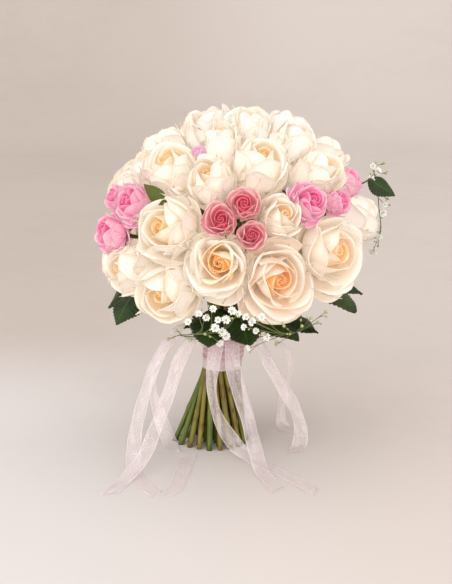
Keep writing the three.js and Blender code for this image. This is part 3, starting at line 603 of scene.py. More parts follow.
class Bloom:
    """A bloom's place, axes and room, read from its CAD node."""

    def __init__(self, name):
        self.name = name
        self.kind = "spray" if name.startswith("spray") else name.split("_")[1]
        self.number = int(name.split("_")[-1])
        points = np.array([v.co for v in nodes[name].data.vertices]) / MM
        rest = points - HEAD_CENTRE
        reach = np.linalg.norm(rest, axis=1)
        self.base_reach = reach.min()
        self.axis = rest[reach.argmin()] / self.base_reach
        self.depth = ((rest @ self.axis).max() - self.base_reach) / CROWN
        self.right = unit(np.cross([0, 0, 1], self.axis))
        self.upward = np.cross(self.axis, self.right)
        x, y, z = rest @ self.right, rest @ self.upward, rest @ self.axis
        turn = np.arctan2(y, x)
        spread = np.hypot(x, y) / z
        self.turns = np.linspace(-np.pi, np.pi, WAYS_ROUND, endpoint=False)
        apart = np.abs((turn[None] - self.turns[:, None] + np.pi) % (2 * np.pi) - np.pi)
        sector = SPRAY_SECTOR if self.kind == "spray" else SECTOR
        self.spreads = np.where(apart < sector, spread[None], 0).max(1)
        lip = self.base_reach + LIP * self.depth
        self.radius = float(np.quantile(self.spreads, 0.85) * lip)
        self.base_reach -= TUCKED.get(self.number, 0.0)
        self.base = HEAD_CENTRE + self.axis * self.base_reach

    def room(self, turn):
        """How wide the CAD bloom is on one side, over its reach from the head's centre."""
        return np.interp(turn, self.turns, self.spreads, period=2 * np.pi)

    def radius_at(self, turn):
        """How wide the bloom opens on one side."""
        lip = self.base_reach + LIP * self.depth
        nearby = turn + np.linspace(-0.5, 0.5, 5)
        return min(self.radius, 0.96 * float(self.room(nearby).mean()) * lip)

    def ease(self, points, spare):
        """Brings points near the neighbours back into the bloom's own room, or a little beyond it."""
        r = np.hypot(points[..., 0], points[..., 1])
        turn = np.arctan2(points[..., 1], points[..., 0])
        room = spare * self.room(turn) * (self.base_reach + points[..., 2])
        share = 1 / (1 + (r / room) ** 6) ** (1 / 6)
        return points * np.stack([share, share, np.ones_like(share)], -1)

    def placed(self, points):
        """Points in the bloom's own axes, moved to where it stands in the bouquet."""
        return self.base + points @ np.stack([self.right, self.upward, self.axis])


blooms = [Bloom(name) for name in sorted(nodes, key=lambda n: n.split("_")[-1]) if "rose" in name]
print("blooms:", len(blooms), "radius", [round(b.radius) for b in blooms])

# %% [markdown]
# ## Growing the blooms
# Petals grow in spiral order, each a golden angle round from the last, which is how a rose really packs
# them. The hearts that the photograph shows in peach, gold or ivory get their own finish, and the spray
# roses are dusty rose in the middle, brighter pink at the sides and pale near the top. The back follows
# the same mixture.

# %% Blooms
TINTS = {
    "sunset": [1], "peach": [2, 34, 40], "apricot": [3, 14, 32, 37, 39],
    "ivory": [9, 10, 12, 24, 26, 27, 28, 29, 30, 31, 36, 41, 43],
    "dusty": [15, 16, 17], "pale": [23],
}
FINE, PLAIN = (13, 17), (9, 11)  # rows and columns of the petals that show most, and of the others
FINE_FROM, HEART_END = 0.35, 0.4  # places in the table
FILLED, GUARD_FILLED = 0.99, 1.2  # how much of a bloom's room its petals may fill
GUARD_LAYER = 0.8  # guard petals are coloured as the petals at this place
OPEN_SEAMS = (15, 16, 17)  # the trio has dark gaps round it in the photograph, so no guard petals


def tint_of(bloom):
    named = [tint for tint, numbers in TINTS.items() if bloom.number in numbers]
    return named[0] if named else ("bright" if bloom.kind == "spray" else "gold")


def grow(bloom):
    """Makes one bloom and gives the number of its petals."""
    draws = np.random.default_rng(100 + bloom.number)
    hand = 1 if bloom.number % 2 else -1
    pile = Pile(PETALS[tint_of(bloom)])
    petals = 0
    for k, s in enumerate(petal_order(bloom.kind)):
        guard = s > 1
        if guard and bloom.number in OPEN_SEAMS:
            continue
        turn = hand * GOLDEN * k + bloom.number * 2.4 + draws.normal(0, 0.09)
        inner = s < HEART_END
        radius = bloom.radius if inner or guard else bloom.radius_at((turn + np.pi) % (2 * np.pi) - np.pi)
        form = form_at(bloom.kind, s, radius, bloom.depth)
        if not inner:
            form["top"] *= 1 + draws.normal(0, 0.03)
            form["rim"] *= 1 + draws.normal(0, 0.03)
            form["roll"] *= 1 + draws.normal(0, 0.15)
            form["point"] = 0.02 + 0.03 * draws.random()
        chance = float(draws.random())
        shows_most = s > FINE_FROM and not guard and bloom.kind != "spray"
        rows, columns = FINE if shows_most else PLAIN
        front, place = petal_grid(form, turn, hand, rows, columns, chance)
        front = softened(bloom.ease(front, GUARD_FILLED if guard else FILLED), 2)
        back = front - surface_normals(front, 2) * PETAL_THICKNESS
        part = shell(bloom.placed(front), bloom.placed(back))
        marks = np.concatenate([place.reshape(-1, 3)] * 2)
        kinds = np.tile([GUARD_LAYER if guard else s, chance, 0.0], (len(marks), 1))
        kinds[: len(marks) // 2, 2] = 1.0
        pile.add(part, petal_place=marks, petal_kind=kinds)
        petals += 1
    slot = "petal_pink" if bloom.kind == "spray" else "petal_cream"
    pile.piece("bloom_" + bloom.name, slot, bloom.name)
    return petals


petal_counts = [grow(bloom) for bloom in blooms]
print("petals:", sum(petal_counts), "in", len(petal_counts), "blooms")

# %% [markdown]
# ## Stems
# Thirty-nine stems stand in four rings at the waist. The highest blooms take the middle places. Below
# the binding the bundle turns like a sheaf, so every stem leans out to its own cut end, and above it
# each one bends out to its bloom. The joints, where leaves once grew, swell a little. Each bloom sits in
# a green cup with five pointed sepals. A curve object with a round bevel would make a stem as well, but
# it wouldn't be cut level where it stands on the surface.

# %% Stem finish
def stem_finish():
    finish = Finish("stem_green", Roughness=0.5, Subsurface_Weight=0.08, Specular_IOR_Level=0.4,
                    Subsurface_Radius=(0.002, 0.003, 0.001), Subsurface_Scale=1.0)
    round_it, height, chance = finish.mark("stem_place")
    streaks = finish.noise(1.0, 3.0, finish.place(round_it * 9, height * 0.05, chance * 70))
    blotches = finish.noise(1.0, 4.0, finish.place(round_it * 2, height * 0.09, chance * 31))
    colour = finish.mix(chance.step(0.2, 0.9), shade(62, 88, 20), shade(124, 110, 36))
    colour = finish.mix((streaks - 0.3).step(0.0, 0.5) * 0.6, colour, shade(152, 148, 58))
    brown = (blotches - 0.46).step(0.0, 0.22) * (chance * 1.3)
    colour = finish.mix(brown * 0.8, colour, shade(102, 68, 34))
    finish.set("Base Color", colour)
    finish.set("Roughness", 0.4 + streaks * 0.25)
    finish.bump(streaks * 0.6 + blotches * 0.4, 0.0004, 0.5)
    return finish.material


STEM = stem_finish()
print("stem finish:", STEM.name)

# %% Stems, cups and sepals
LEAN = 0.1  # how far the waist leans to the right over its height
WAIST_BOTTOM, WAIST_TOP, WAIST_RADIUS = 82, 118, 16.0
STEM_ZONE = 78  # how far from the head's centre the stems point straight at their blooms
STEM_SIDES = 10
FOOT_RADIUS, FOOT_TWIST = 34, math.radians(40)
LOWER_ROWS = 13
THINNEST, THICKEST = 2.1, 2.8  # radii of the cut stems below the binding
UPPER_RADIUS, SIDE_STEM_RADIUS = 2.0, 1.5
JOINT_HEIGHTS = (18, 62)
SWELLING, JOINT_SPREAD = 0.55, 2.6
FOOT_BELOW = 4  # the stems are aimed at a ring this far under the surface, and cut off at the surface
RINGS = (1, 6, 13, 19)  # stems in each ring, from the middle
SIDE_STEMS = {16: 15, 17: 15, 19: 18, 22: 20}  # spray roses that share another's stem
NECK, SIDE_NECK = 6, 5  # how far below its bloom a stem ends, inside the cup
SEPALS = 5
# Radius and height of the cup, then length and half the width of a sepal.
ROSE_CUP, SPRAY_CUP = (6, 9, 24, 3.2), (3.6, 6, 13, 1.6)
CUP_TINT, SEPAL_TINT = 0.1, 0.2  # where in the stems' range of greens they are


def at_slot(ring, turn, height, radius):
    """A stem's place by ring and turn, where the outermost ring has the given radius."""
    r = radius * ring / (len(RINGS) - 1)
    return np.array([LEAN * height + r * math.sin(turn), -r * math.cos(turn), height])


def stem_plan():
    """Each stemmed bloom with its ring and turn at the waist."""
    rest = sorted((b for b in blooms if b.number not in SIDE_STEMS), key=lambda b: -b.axis[2])
    plan = []
    for ring, count in enumerate(RINGS):
        group, rest = rest[:count], rest[count:]
        group.sort(key=lambda b: math.atan2(b.axis[0], -b.axis[1]) % (2 * math.pi))
        plan += [(bloom, ring, 2 * math.pi * (i + ring / 2) / count) for i, bloom in enumerate(group)]
    return plan


def upper_path(bloom, ring, turn):
    """The way of a stem from the waist to its bloom."""
    start = at_slot(ring, turn, WAIST_TOP, WAIST_RADIUS)
    turning = HEAD_CENTRE + bloom.axis * 0.5 * STEM_ZONE
    into = HEAD_CENTRE + bloom.axis * STEM_ZONE
    return bezier([start, start + np.array([LEAN, 0, 1]) * 36, turning, into], 12)


def add_stem(pile, path, radii, chance):
    """A round stem. One that starts at the surface is cut level there."""
    points, faces, caps = tube(path, radii, STEM_SIDES)
    round_it = np.tile(np.arange(STEM_SIDES) / STEM_SIDES, len(path))
    lengths = np.repeat(lengths_along(path), STEM_SIDES)
    marks = np.stack([np.abs(round_it - 0.5) * 2, lengths, np.full(len(lengths), chance)], -1)
    if path[0][2] < 1:
        run = unit(path[1] - path[0])
        cut = points[:STEM_SIDES]
        points[:STEM_SIDES] = cut - run * (cut[:, 2:] / run[2])
    pile.add((points, faces, caps), stem_place=marks)


def cup_and_sepals(pile, bloom, draws):
    """The green cup at the neck and its five sepals."""
    wide, tall, length, broad = SPRAY_CUP if bloom.kind == "spray" else ROSE_CUP
    top = bloom.base_reach - 0.3
    steps = np.array([0, 0.25, 0.5, 0.75, 0.92, 1])
    path = HEAD_CENTRE + bloom.axis * (top - tall + tall * steps)[:, None]
    radii = np.interp(steps, [0, 0.3, 0.7, 1], [2, 0.66 * wide, 0.8 * wide, wide])
    pile.add(tube(path, radii, STEM_SIDES), stem_place=np.array([0.5, 0.0, CUP_TINT]))
    for i in range(SEPALS):
        turn = 2 * math.pi * i / SEPALS + bloom.number
        t = np.linspace(0, 1, 7)[:, None]
        u = np.linspace(-1, 1, 4)[None, :]
        half = broad * (1 - t) ** 0.7 * (0.7 + 0.3 * np.sin(math.pi * t))
        droop = draws.uniform(0.1, 0.45)
        r = 0.8 * wide + length * (t - 0.12 * t ** 3) + 0 * u
        z = -0.6 - length * droop * t ** 2 - 0.12 * np.abs(u) * half
        front = spun(np.stack([r, u * half, z], -1), turn)[:, ::-1]
        back = front - surface_normals(front) * 0.5
        sepal = shell(bloom.placed(front), bloom.placed(back))
        pile.add(sepal, stem_place=np.array([0.5, 0.0, SEPAL_TINT]))


def make_stems():
    draws = np.random.default_rng(7)
    pile = Pile(STEM)
    ways = {}
    for bloom, ring, turn in stem_plan():
        leftmost = max(0.0, -math.sin(turn + FOOT_TWIST)) ** 6
        foot = at_slot(ring, turn + FOOT_TWIST, -FOOT_BELOW, FOOT_RADIUS + 8 * leftmost)
        waist = at_slot(ring, turn, WAIST_BOTTOM, WAIST_RADIUS)
        foot = foot + (waist - foot) * (FOOT_BELOW / (waist[2] + FOOT_BELOW))
        part = np.linspace(0, 1, LOWER_ROWS)[:, None]
        lower = foot + (waist - foot) * part
        bow = np.cross(waist - foot, [0, 0, 1.0]) * draws.uniform(-0.03, 0.03)
        lower = lower + bow * np.sin(math.pi * part)
        upper = upper_path(bloom, ring, turn)
        ways[bloom.number] = upper
        neck = HEAD_CENTRE + bloom.axis * (bloom.base_reach - NECK)
        path = np.concatenate([lower, upper, neck[None]])
        thick = draws.uniform(THINNEST, THICKEST)
        joint = draws.uniform(*JOINT_HEIGHTS)
        swelling = SWELLING * np.exp(-(((WAIST_BOTTOM * part[:, 0] - joint) / JOINT_SPREAD) ** 2))
        radii = np.concatenate([thick + swelling, np.full(len(upper) + 1, UPPER_RADIUS)])
        radii[0] *= 1.06
        add_stem(pile, path, radii, float(draws.random()))
        cup_and_sepals(pile, bloom, draws)
    for bloom in (b for b in blooms if b.number in SIDE_STEMS):
        fork = ways[SIDE_STEMS[bloom.number]][6]
        path = bezier([fork, fork + bloom.axis * 8, HEAD_CENTRE + bloom.axis * (STEM_ZONE - 8),
                       HEAD_CENTRE + bloom.axis * (bloom.base_reach - SIDE_NECK)], 10)
        add_stem(pile, path, SIDE_STEM_RADIUS, float(draws.random()))
        cup_and_sepals(pile, bloom, draws)
    return pile.piece("stems_and_sepals", "stem_green", "stems")


made = make_stems()
print("stems:", len(blooms) - len(SIDE_STEMS), "cut and", len(SIDE_STEMS), "side stems in", made.name)

# %% [markdown]
# ## Curves through given points
# The ribbons, leaf stalks and twigs follow a few points that were placed in the CAD source. The
# curve through them is a centripetal Catmull-Rom curve, as there, so the fine pieces lie where the
# solids are. Small pieces that the photograph shows, such as florets, are placed by their column and row
# in it, and by how far out or how deep they stand.

# %% Curve through points
TOGETHER = 1e-2  # two places whose gap is smaller than this coincide


def through(places, count):
    """Points along a centripetal Catmull-Rom curve through the places, evenly spread over its spans."""
    p = np.asarray(places, float)
    p = np.concatenate([2 * p[:1] - p[1:2], p, 2 * p[-1:] - p[-2:-1]])
    made = []
    for t in np.linspace(0, len(p) - 3, count):
        i = min(int(t), len(p) - 4)
        w = t - i
        a, b, c, d = p[i : i + 4]
        gaps = [np.linalg.norm(y - x) ** 0.5 for x, y in ((a, b), (b, c), (c, d))]
        middle = gaps[1] if gaps[1] > TOGETHER else 1.0
        before, after = [gap if gap > TOGETHER else middle for gap in (gaps[0], gaps[2])]
        m1 = ((b - a) / before - (c - a) / (before + middle) + (c - b) / middle) * middle
        m2 = ((c - b) / middle - (d - b) / (middle + after) + (d - c) / after) * middle
        made.append(b + m1 * w + (3 * (c - b) - 2 * m1 - m2) * w ** 2 + (2 * (b - c) + m1 + m2) * w ** 3)
    return np.array(made)


def direction(azimuth, elevation=0.0):
    """The way outwards, where azimuth 0 is the front and 90 the right."""
    a, e = math.radians(azimuth), math.radians(elevation)
    return np.array([math.sin(a) * math.cos(e), -math.cos(a) * math.cos(e), math.sin(e)])


def around(azimuth, reach, height):
    """A place by azimuth round the binding, distance from it and height."""
    return direction(azimuth) * reach + np.array([LEAN * WAIST_TOP, 0, height])


def line_of_sight(column, row):
    """The way from the camera through a place of the photograph."""
    right = np.array([(column - PICTURE[0] / 2) / DISTANCE, 0, 0])
    return unit(FORWARD + right + UPWARD * (PICTURE[1] / 2 - row) / DISTANCE)


def seen_on_ball(column, row, reach):
    """Where a line of sight first meets a ball round the head's centre."""
    ray = line_of_sight(column, row)
    offset = EYE - HEAD_CENTRE
    half = ray @ offset
    return EYE + ray * (-half - math.sqrt(half * half - offset @ offset + reach ** 2))


def seen_at_depth(column, row, y):
    """Where a line of sight reaches a given depth."""
    ray = line_of_sight(column, row)
    return EYE + ray * (y - EYE[1]) / ray[1]


# %% [markdown]
# ## The binding
# A satin ribbon is wound round the waist, turn over turn, and the light catches every folded edge.
# Below it shows a band of the sheer ribbon, through which the stems glimmer. Both are rings whose radius
# changes with height and turn. A smooth ring with a bump in its finish would be easier, but its outline
# and its shadows would be those of a plain tube.

# %% Ribbon finishes
def satin_finish():
    finish = Finish("satin_pink", Roughness=0.38, Sheen_Weight=0.35, Sheen_Roughness=0.3,
                    Specular_IOR_Level=0.55, Sheen_Tint=shade(255, 226, 230))
    turn, height, fold = finish.mark("cloth_place")
    threads_and_sheen = finish.noise(1.0, 2.0, finish.place(turn * 6, height * 3.2, fold))
    soft = finish.noise(1.0, 2.0, finish.place(turn * 2.0, height * 0.35, 0.0))
    colour = finish.mix(soft.step(0.3, 0.7), shade(198, 164, 166), shade(222, 194, 193))
    # Painted shade: darker in the recess under each turn, where the ribbon lies furthest back.
    colour = finish.mix(fold.step(0.4, 1.0) * 0.6, colour, shade(170, 124, 132))
    # Painted sheen: lighter streaks along the threads.
    colour = finish.mix((threads_and_sheen - 0.5).step(0.0, 0.4) * 0.35, colour, shade(250, 226, 228))
    finish.set("Base Color", colour)
    finish.set("Roughness", 0.3 + threads_and_sheen * 0.25)
    finish.bump(threads_and_sheen, 0.0003, 0.4)
    return finish.material


def sheer_finish(name, body, edge, cover):
    """Sheer woven ribbon. It hides more of what is behind it along its edges and where it is gathered."""
    finish = Finish(name, Roughness=0.42, Sheen_Weight=0.3, Sheen_Roughness=0.35, Specular_IOR_Level=0.5)
    across, along, fold = finish.mark("cloth_place")
    waves = {"Vector": finish.place(along * 0.9, 0.0), "Scale": 1.0, "Distortion": 0.6, "Detail": 1.0}
    weft = finish.node("ShaderNodeTexWave", {"bands_direction": "X"}, waves)
    folds = finish.noise(1.0, 2.0, finish.place(across * 1.4, along * 0.06, fold))
    selvedge = abs(across).step(0.88, 0.95)
    glints = finish.noise(1300.0, 2.0).step(0.52, 0.66)
    colour = finish.mix(folds.step(0.35, 0.65), body, edge)
    colour = finish.mix((selvedge * 0.8).at_least(glints * 0.7), colour, edge)
    gathered = 1 - along.step(30.0, 120.0)
    alpha = cover + selvedge * 0.34 + (folds - 0.5) * 0.3 + (weft - 0.5) * 0.07
    alpha = alpha + glints * 0.3 + gathered * 0.14
    finish.set("Base Color", colour)
    finish.set("Alpha", alpha.at_least(0.08).at_most(1.0))
    finish.bump(weft * 0.5 + folds * 0.5, 0.0003, 0.3)
    return finish.material


SATIN = satin_finish()
BAND = sheer_finish("organza_band", shade(222, 200, 200), shade(240, 224, 222), 0.62)
ORGANZA = sheer_finish("organza_pink", shade(243, 218, 224), shade(255, 244, 246), 0.12)
print("ribbon finishes:", SATIN.name, BAND.name, ORGANZA.name)

# %% Wound rings
BINDING_INNER, BINDING_OUTER = 19.2, 20.1
WRAP_BOTTOM, WRAP_TURN = 89.3, 6.2  # lowest edge of the satin, and its rise in one turn
BAND_BOTTOM, BAND_TOP = 79.0, 89.0


def level_ring(turn, radius, height):
    """A ring of points round the leaning waist."""
    x, y = LEAN * height + radius * np.cos(turn), radius * np.sin(turn)
    return np.stack([x, y, np.full(len(turn), height)], -1)


def wound_ring(bottom, top, rows, columns, relief):
    """Closed ring round the leaning waist. Relief gives its radius over turn and height."""
    turn = np.linspace(0, 2 * np.pi, columns, endpoint=False)
    height = np.linspace(bottom, top, rows)
    outer = relief(turn[None, :], height[:, None])
    rings = [level_ring(turn, radius, z) for radius, z in zip(outer, height)]
    rings += [level_ring(turn, BINDING_INNER, z) for z in (top, bottom)]
    index = np.arange(len(rings) * columns).reshape(-1, columns)
    nearby, above = np.roll(index, -1, 1), np.roll(index, -1, 0)
    faces = np.stack([index, nearby, np.roll(above, -1, 1), above], -1).reshape(-1, 4).tolist()
    marks = np.zeros((len(rings), columns, 3))
    marks[..., 0] = (turn / np.pi - 1)[None, :]
    marks[..., 1] = np.array([*height, top, bottom])[:, None]
    # How far each point lies back from the outermost turn. The satin's finish paints shade from it.
    marks[:rows, :, 2] = np.clip((outer.max() - outer) / 1.2, 0, 1)
    return (np.concatenate(rings), faces, 0), marks.reshape(-1, 3)


def wrap_relief(turn, height):
    """Each turn of the satin steps out over the last one, with small folds."""
    winding = (height - WRAP_BOTTOM) / WRAP_TURN + turn / (2 * np.pi) + 0.10 * np.sin(turn * 2 + 1)
    part = winding % 1
    folds = 0.22 * np.sin(height * 2.4 + 1.6 * np.sin(turn * 3)) + 0.16 * np.sin(height * 4.1 + turn * 5)
    return BINDING_OUTER + 0.95 * part ** 0.7 * smooth(1, 0.88, part) + folds


def band_relief(turn, height):
    return BINDING_OUTER + 0.16 * np.sin(turn * 9 + height * 0.4) + 0.1 * np.sin(turn * 23)


# %% Binding
WOUND_COLUMNS, SATIN_ROWS, BAND_ROWS = 96, 58, 12


def make_wound(finish, relief, bottom, top, rows, names):
    """One wound ribbon. Names are those of the piece, its slot, which is not used, and its CAD node."""
    pile = Pile(finish)
    part, marks = wound_ring(bottom, top, rows, WOUND_COLUMNS, relief)
    pile.add(part, cloth_place=marks)
    made = pile.piece(*names)
    print(made.name, "is", round(top - bottom, 1), "mm wide")


WRAP_NAMES = ("wound_satin_binding", "satin_pink", "binding_wrap")
make_wound(SATIN, wrap_relief, WRAP_BOTTOM, float(WAIST_TOP), SATIN_ROWS, WRAP_NAMES)
BAND_NAMES = ("sheer_band", "organza_band", "binding_sheer_band")
make_wound(BAND, band_relief, BAND_BOTTOM, BAND_TOP, BAND_ROWS, BAND_NAMES)

# %% [markdown]
# ## Ribbon streamers
# Sheer organza holds its curves: a streamer leaves the binding, falls in a long sweep and then lies on
# the surface. A cloth simulation could drape it, but not into the sweeps of the photograph. So each one
# follows the route of its CAD solid, which gives the way its face looks too, and the ribbon twists as it
# falls. The middle billows a little between its close-woven edges, and the end is cut on the slant.

# %% Ribbon routes
RIBBON_WIDTH = 15.0
RIBBON_THICKNESS = 0.24
RIBBON_START = 21.3  # distance from the waist's middle


def on_binding(azimuth, height):
    outwards = direction(azimuth)
    return [*(outwards * RIBBON_START + np.array([LEAN * height, 0, height])), *outwards]


# Each row is a place in millimetres, then the way in which the ribbon's face looks there.
RIBBONS = {
    "ribbon_left_outer": [
        on_binding(-107, 112),
        (-27, 0, 121, -0.5, -0.2, 0.9), (-44, -2, 108, -0.8, -0.6, 0.3),
        (-58, -8, 85, -0.7, -0.8, 0.3), (-68, -22, 60, -0.6, -0.8, 0.3), (-76, -42, 34, -0.5, -0.8, 0.4),
        (-79, -64, 12, -0.3, -0.6, 0.8), (-77, -90, 1, 0, 0, 1), (-66, -124, 1, 0, 0, 1),
        (-50, -148, 1, 0, 0, 1), (-38, -138, 1, 0, 0, 1), (-31, -96, 1, 0, 0, 1), (-26, -52, 1, 0, 0, 1),
    ],
    "ribbon_left_inner": [
        on_binding(-150, 112),
        (-20, 26, 120, -0.4, 0.3, 0.9), (-42, 24, 102, -0.9, 0, 0.3),
        (-58, 18, 76, -0.9, -0.5, 0.2), (-63, 12, 54, -0.9, -0.5, 0.1), (-58, 4, 30, -0.5, -0.8, 0.2),
        (-50, -4, 10, -0.2, -0.6, 0.8), (-44, -18, 1, 0, 0, 1), (-42, -34, 1, 0, 0, 1),
    ],
    "ribbon_left_tail": [
        on_binding(-65, 109),
        (-21, -25, 114, -0.5, -0.6, 0.7), (-34, -32, 94, -0.5, -0.8, 0.3),
        (-44, -44, 66, -0.5, -0.8, 0.3), (-56, -64, 38, -0.5, -0.8, 0.4), (-68, -88, 14, -0.3, -0.7, 0.7),
        (-85, -116, 1.6, 0, 0, 1), (-96, -148, 1, 0, 0, 1),
    ],
    "ribbon_front_left": [
        on_binding(-22, 110), (-1, -24, 86, -0.4, -0.8, 0),
        (-2, -34, 60, -0.8, -0.6, 0), (5, -46, 38, -0.8, -0.6, 0.4), (20, -55, 16, -0.4, -0.4, 0.8),
        (38, -64, 1.4, 0, 0, 1), (62, -90, 1, 0, 0, 1), (96, -142, 1, 0, 0, 1),
    ],
    "ribbon_front_right": [
        on_binding(20, 108), (19, -26, 86, 0.1, -0.9, 0.3),
        (25, -39, 64, 0.3, -0.8, 0.3), (33, -54, 42, 0.4, -0.8, 0.3), (40, -72, 18, 0.3, -0.7, 0.6),
        (46, -92, 3, 0.1, -0.2, 0.9), (54, -116, 1, 0, 0, 1), (60, -138, 1, 0, 0, 1),
    ],
    "ribbon_right_front": [
        on_binding(92, 106), (40, 2, 111, 0.5, -0.1, 0.8),
        (56, -1, 80, 0.5, -0.6, 0.4), (70, -4, 56, 0.5, -0.7, 0.4), (82, -8, 36, 0.6, -0.7, 0.2),
        (88, -14, 16, 0.4, -0.6, 0.6), (86, -24, 2, 0.1, -0.2, 0.9), (80, -42, 1, 0, 0, 1),
    ],
    "ribbon_right_back": [
        on_binding(138, 112), (38, 30, 118, 0.5, 0.4, 0.8),
        (58, 34, 100, 0.7, 0.3, 0.6), (76, 37, 82, 0.8, -0.3, 0.5), (79, 40, 60, 0.9, -0.4, 0.1),
        (73, 44, 34, 0.8, -0.6, 0.1), (70, 44, 12, 0.7, -0.5, 0.4), (72, 34, 1.4, 0.1, 0, 1),
        (76, 18, 1, 0, 0, 1),
    ],
}
print("routes:", ", ".join(RIBBONS))

# %% Ribbons
LOWEST = 0.35  # a ribbon on the surface, at its middle
SLANT = 6.0  # how far each corner of the cut end stands before or behind its middle
SLANT_REACH = 26  # how far from the end the slant begins
ROWS_A_SPAN, RIBBON_COLUMNS = 14, 11


def make_ribbon(name, route, seed):
    draws = np.random.default_rng(seed)
    rows = ROWS_A_SPAN * (len(route) - 1) + 1
    line = through([p[:3] for p in route], rows)
    facing = through([p[3:] for p in route], rows)
    run = unit(np.gradient(line, axis=0))
    across = unit(np.cross(run, facing))
    normal = np.cross(across, run)
    lengths = lengths_along(line)
    u = np.linspace(-1, 1, RIBBON_COLUMNS)
    slant = draws.choice([-1, 1]) * SLANT
    near_end = smooth(lengths[-1] - SLANT_REACH, lengths[-1], lengths)
    phase = draws.uniform(0, 6, 4)
    free = smooth(4, 30, lengths)
    billow = np.sin(lengths[:, None] / 17 + phase[0]) * (1 - u ** 2)
    crinkle = 0.5 * np.sin(lengths[:, None] / 6.5 + u * 2 + phase[1]) * np.abs(u) ** 2
    lift = free[:, None] * (billow + crinkle)
    middle = line[:, None] + across[:, None] * (u[None, :, None] * RIBBON_WIDTH / 2)
    middle = middle + run[:, None] * (near_end[:, None] * u * slant)[..., None]
    middle = middle + normal[:, None] * lift[..., None]
    middle[..., 2] = np.maximum(middle[..., 2], LOWEST)
    half = surface_normals(middle) * RIBBON_THICKNESS / 2
    part = shell(middle + half, middle - half)
    place = np.stack(np.broadcast_arrays(u[None, :], lengths[:, None], phase[3]), -1).reshape(-1, 3)
    pile = Pile(ORGANZA)
    pile.add(part, cloth_place=np.concatenate([place, place]))
    made = pile.piece("streamer_" + name.removeprefix("ribbon_"), "organza_pink", name)
    print(name, "is", round(lengths[-1]), "mm long")


for seed, (name, route) in enumerate(RIBBONS.items()):
    make_ribbon(name, route, seed)

# %% [markdown]
# ## Leaves
# A rose leaf is folded along its rib, arches down to its tip and has a saw-toothed margin. Its side
# veins lie in shallow grooves, so the blade between them puffs up a little. The teeth and the puffed
# fields are in the mesh, because they show in its outline and its shine, and the fine vein lines and the
# waxy gloss are in the finish. The leaves hang on twigs below the head, one stands out at its upper
# right, and one olive leaf is tucked between the blooms at the left.

# %% Leaf finish
VEINS = 9


def leaf_finish():
    finish = Finish("leaf_green", Specular_IOR_Level=0.28, Subsurface_Weight=0.06,
                    Subsurface_Radius=(0.001, 0.002, 0.0006), Subsurface_Scale=1.0)
    across, along, chance = finish.mark("leaf_place")
    side = abs(across)
    way = (along - side * 0.16) * VEINS
    vein = way.maths("PINGPONG", way, 0.5)
    lines = (1 - vein.step(0.0, 0.09)) * (1 - side.step(0.75, 1.0))
    rib = 1 - side.step(0.0, 0.07)
    cells = finish.noise(260.0, 3.0)
    clouds = finish.noise(55.0, 2.0)
    colour = finish.mix(clouds.step(0.3, 0.7), shade(14, 34, 8), shade(34, 60, 16))
    colour = finish.mix(chance.step(0.0, 0.9) * 0.8, colour, shade(88, 98, 32))
    colour = finish.mix((lines * 0.3).at_least(rib * 0.6), colour, shade(84, 104, 50))
    colour = finish.mix(side.step(0.9, 1.0) * 0.5, colour, shade(96, 76, 40))
    finish.set("Base Color", colour)
    finish.set("Roughness", 0.38 + cells * 0.2)
    finish.bump(cells * 0.4 - lines * 0.6 - rib * 0.5, 0.0005, 0.5)
    return finish.material


LEAF = leaf_finish()
print("leaf finish:", LEAF.name)

# %% One leaf
LEAF_THICKNESS = 0.45
TEETH = 13
GREEN, OLIVE = 0.25, 0.95  # how far a leaf's green goes towards olive


def leaf_blade(pile, root, run, face, length, width, chance):
    """A blade from its root along a run, with its upper face to the given side."""
    run = unit(run)
    across = unit(np.cross(run, face))
    normal = np.cross(across, run)
    t = np.linspace(0, 1, 4 * TEETH + 1)[:, None]
    u = np.linspace(-1, 1, 11)[None, :]
    outline = width / 2 * np.sin(math.pi * np.clip(t, 1e-4, 1 - 1e-4) ** 0.75) ** 0.85
    saw = (t * TEETH + 0.2) % 1
    outline = outline * (1 + 0.16 * (saw - 0.5) * np.abs(u) ** 3)
    x = u * outline
    quilt = 0.5 - np.abs(((t - 0.16 * np.abs(u)) * VEINS + 0.5) % 1 - 0.5)
    puff = 0.055 * width * (0.25 - (0.5 - quilt) ** 2) * 2 * (1 - u ** 4) * smooth(0.03, 0.3, np.abs(u))
    wave = 0.035 * width * np.sin(t * 9 + chance * 30 + u) * np.abs(u) ** 2
    sag = -0.14 * length * t ** 2 - 0.35 * np.abs(x) * (1 - 0.3 * np.abs(u)) + puff + wave
    place = root + run * (t * length)[..., None] + across * x[..., None] + normal * sag[..., None]
    back = place - surface_normals(place) * LEAF_THICKNESS
    marks = np.stack(np.broadcast_arrays(u, t, chance), -1).reshape(-1, 3)
    pile.add(shell(place, back), leaf_place=np.concatenate([marks, marks]))


def add_stalk(pile, path, radii):
    pile.add(tube(path, radii, 7), leaf_place=np.array([0.5, 0.37, 0.8]))


# %% Leafy twigs
COLLAR_REACH, COLLAR_HEIGHT = 19.4, 121.5  # where the twigs leave the bundle
HUB_REACH, HUB_HEIGHT = 32, 131  # where they fork
STALK_RADII, TUCKED_RADIUS = (1.3, 0.8), 0.8
# Each side leaflet's angle to the twig, its place on the twig's route and its size.
SIDE_LEAFLETS = ((-56, 9, 0.8), (52, 10, 0.72), (-84, 6, 0.6), (80, 7, 0.62))


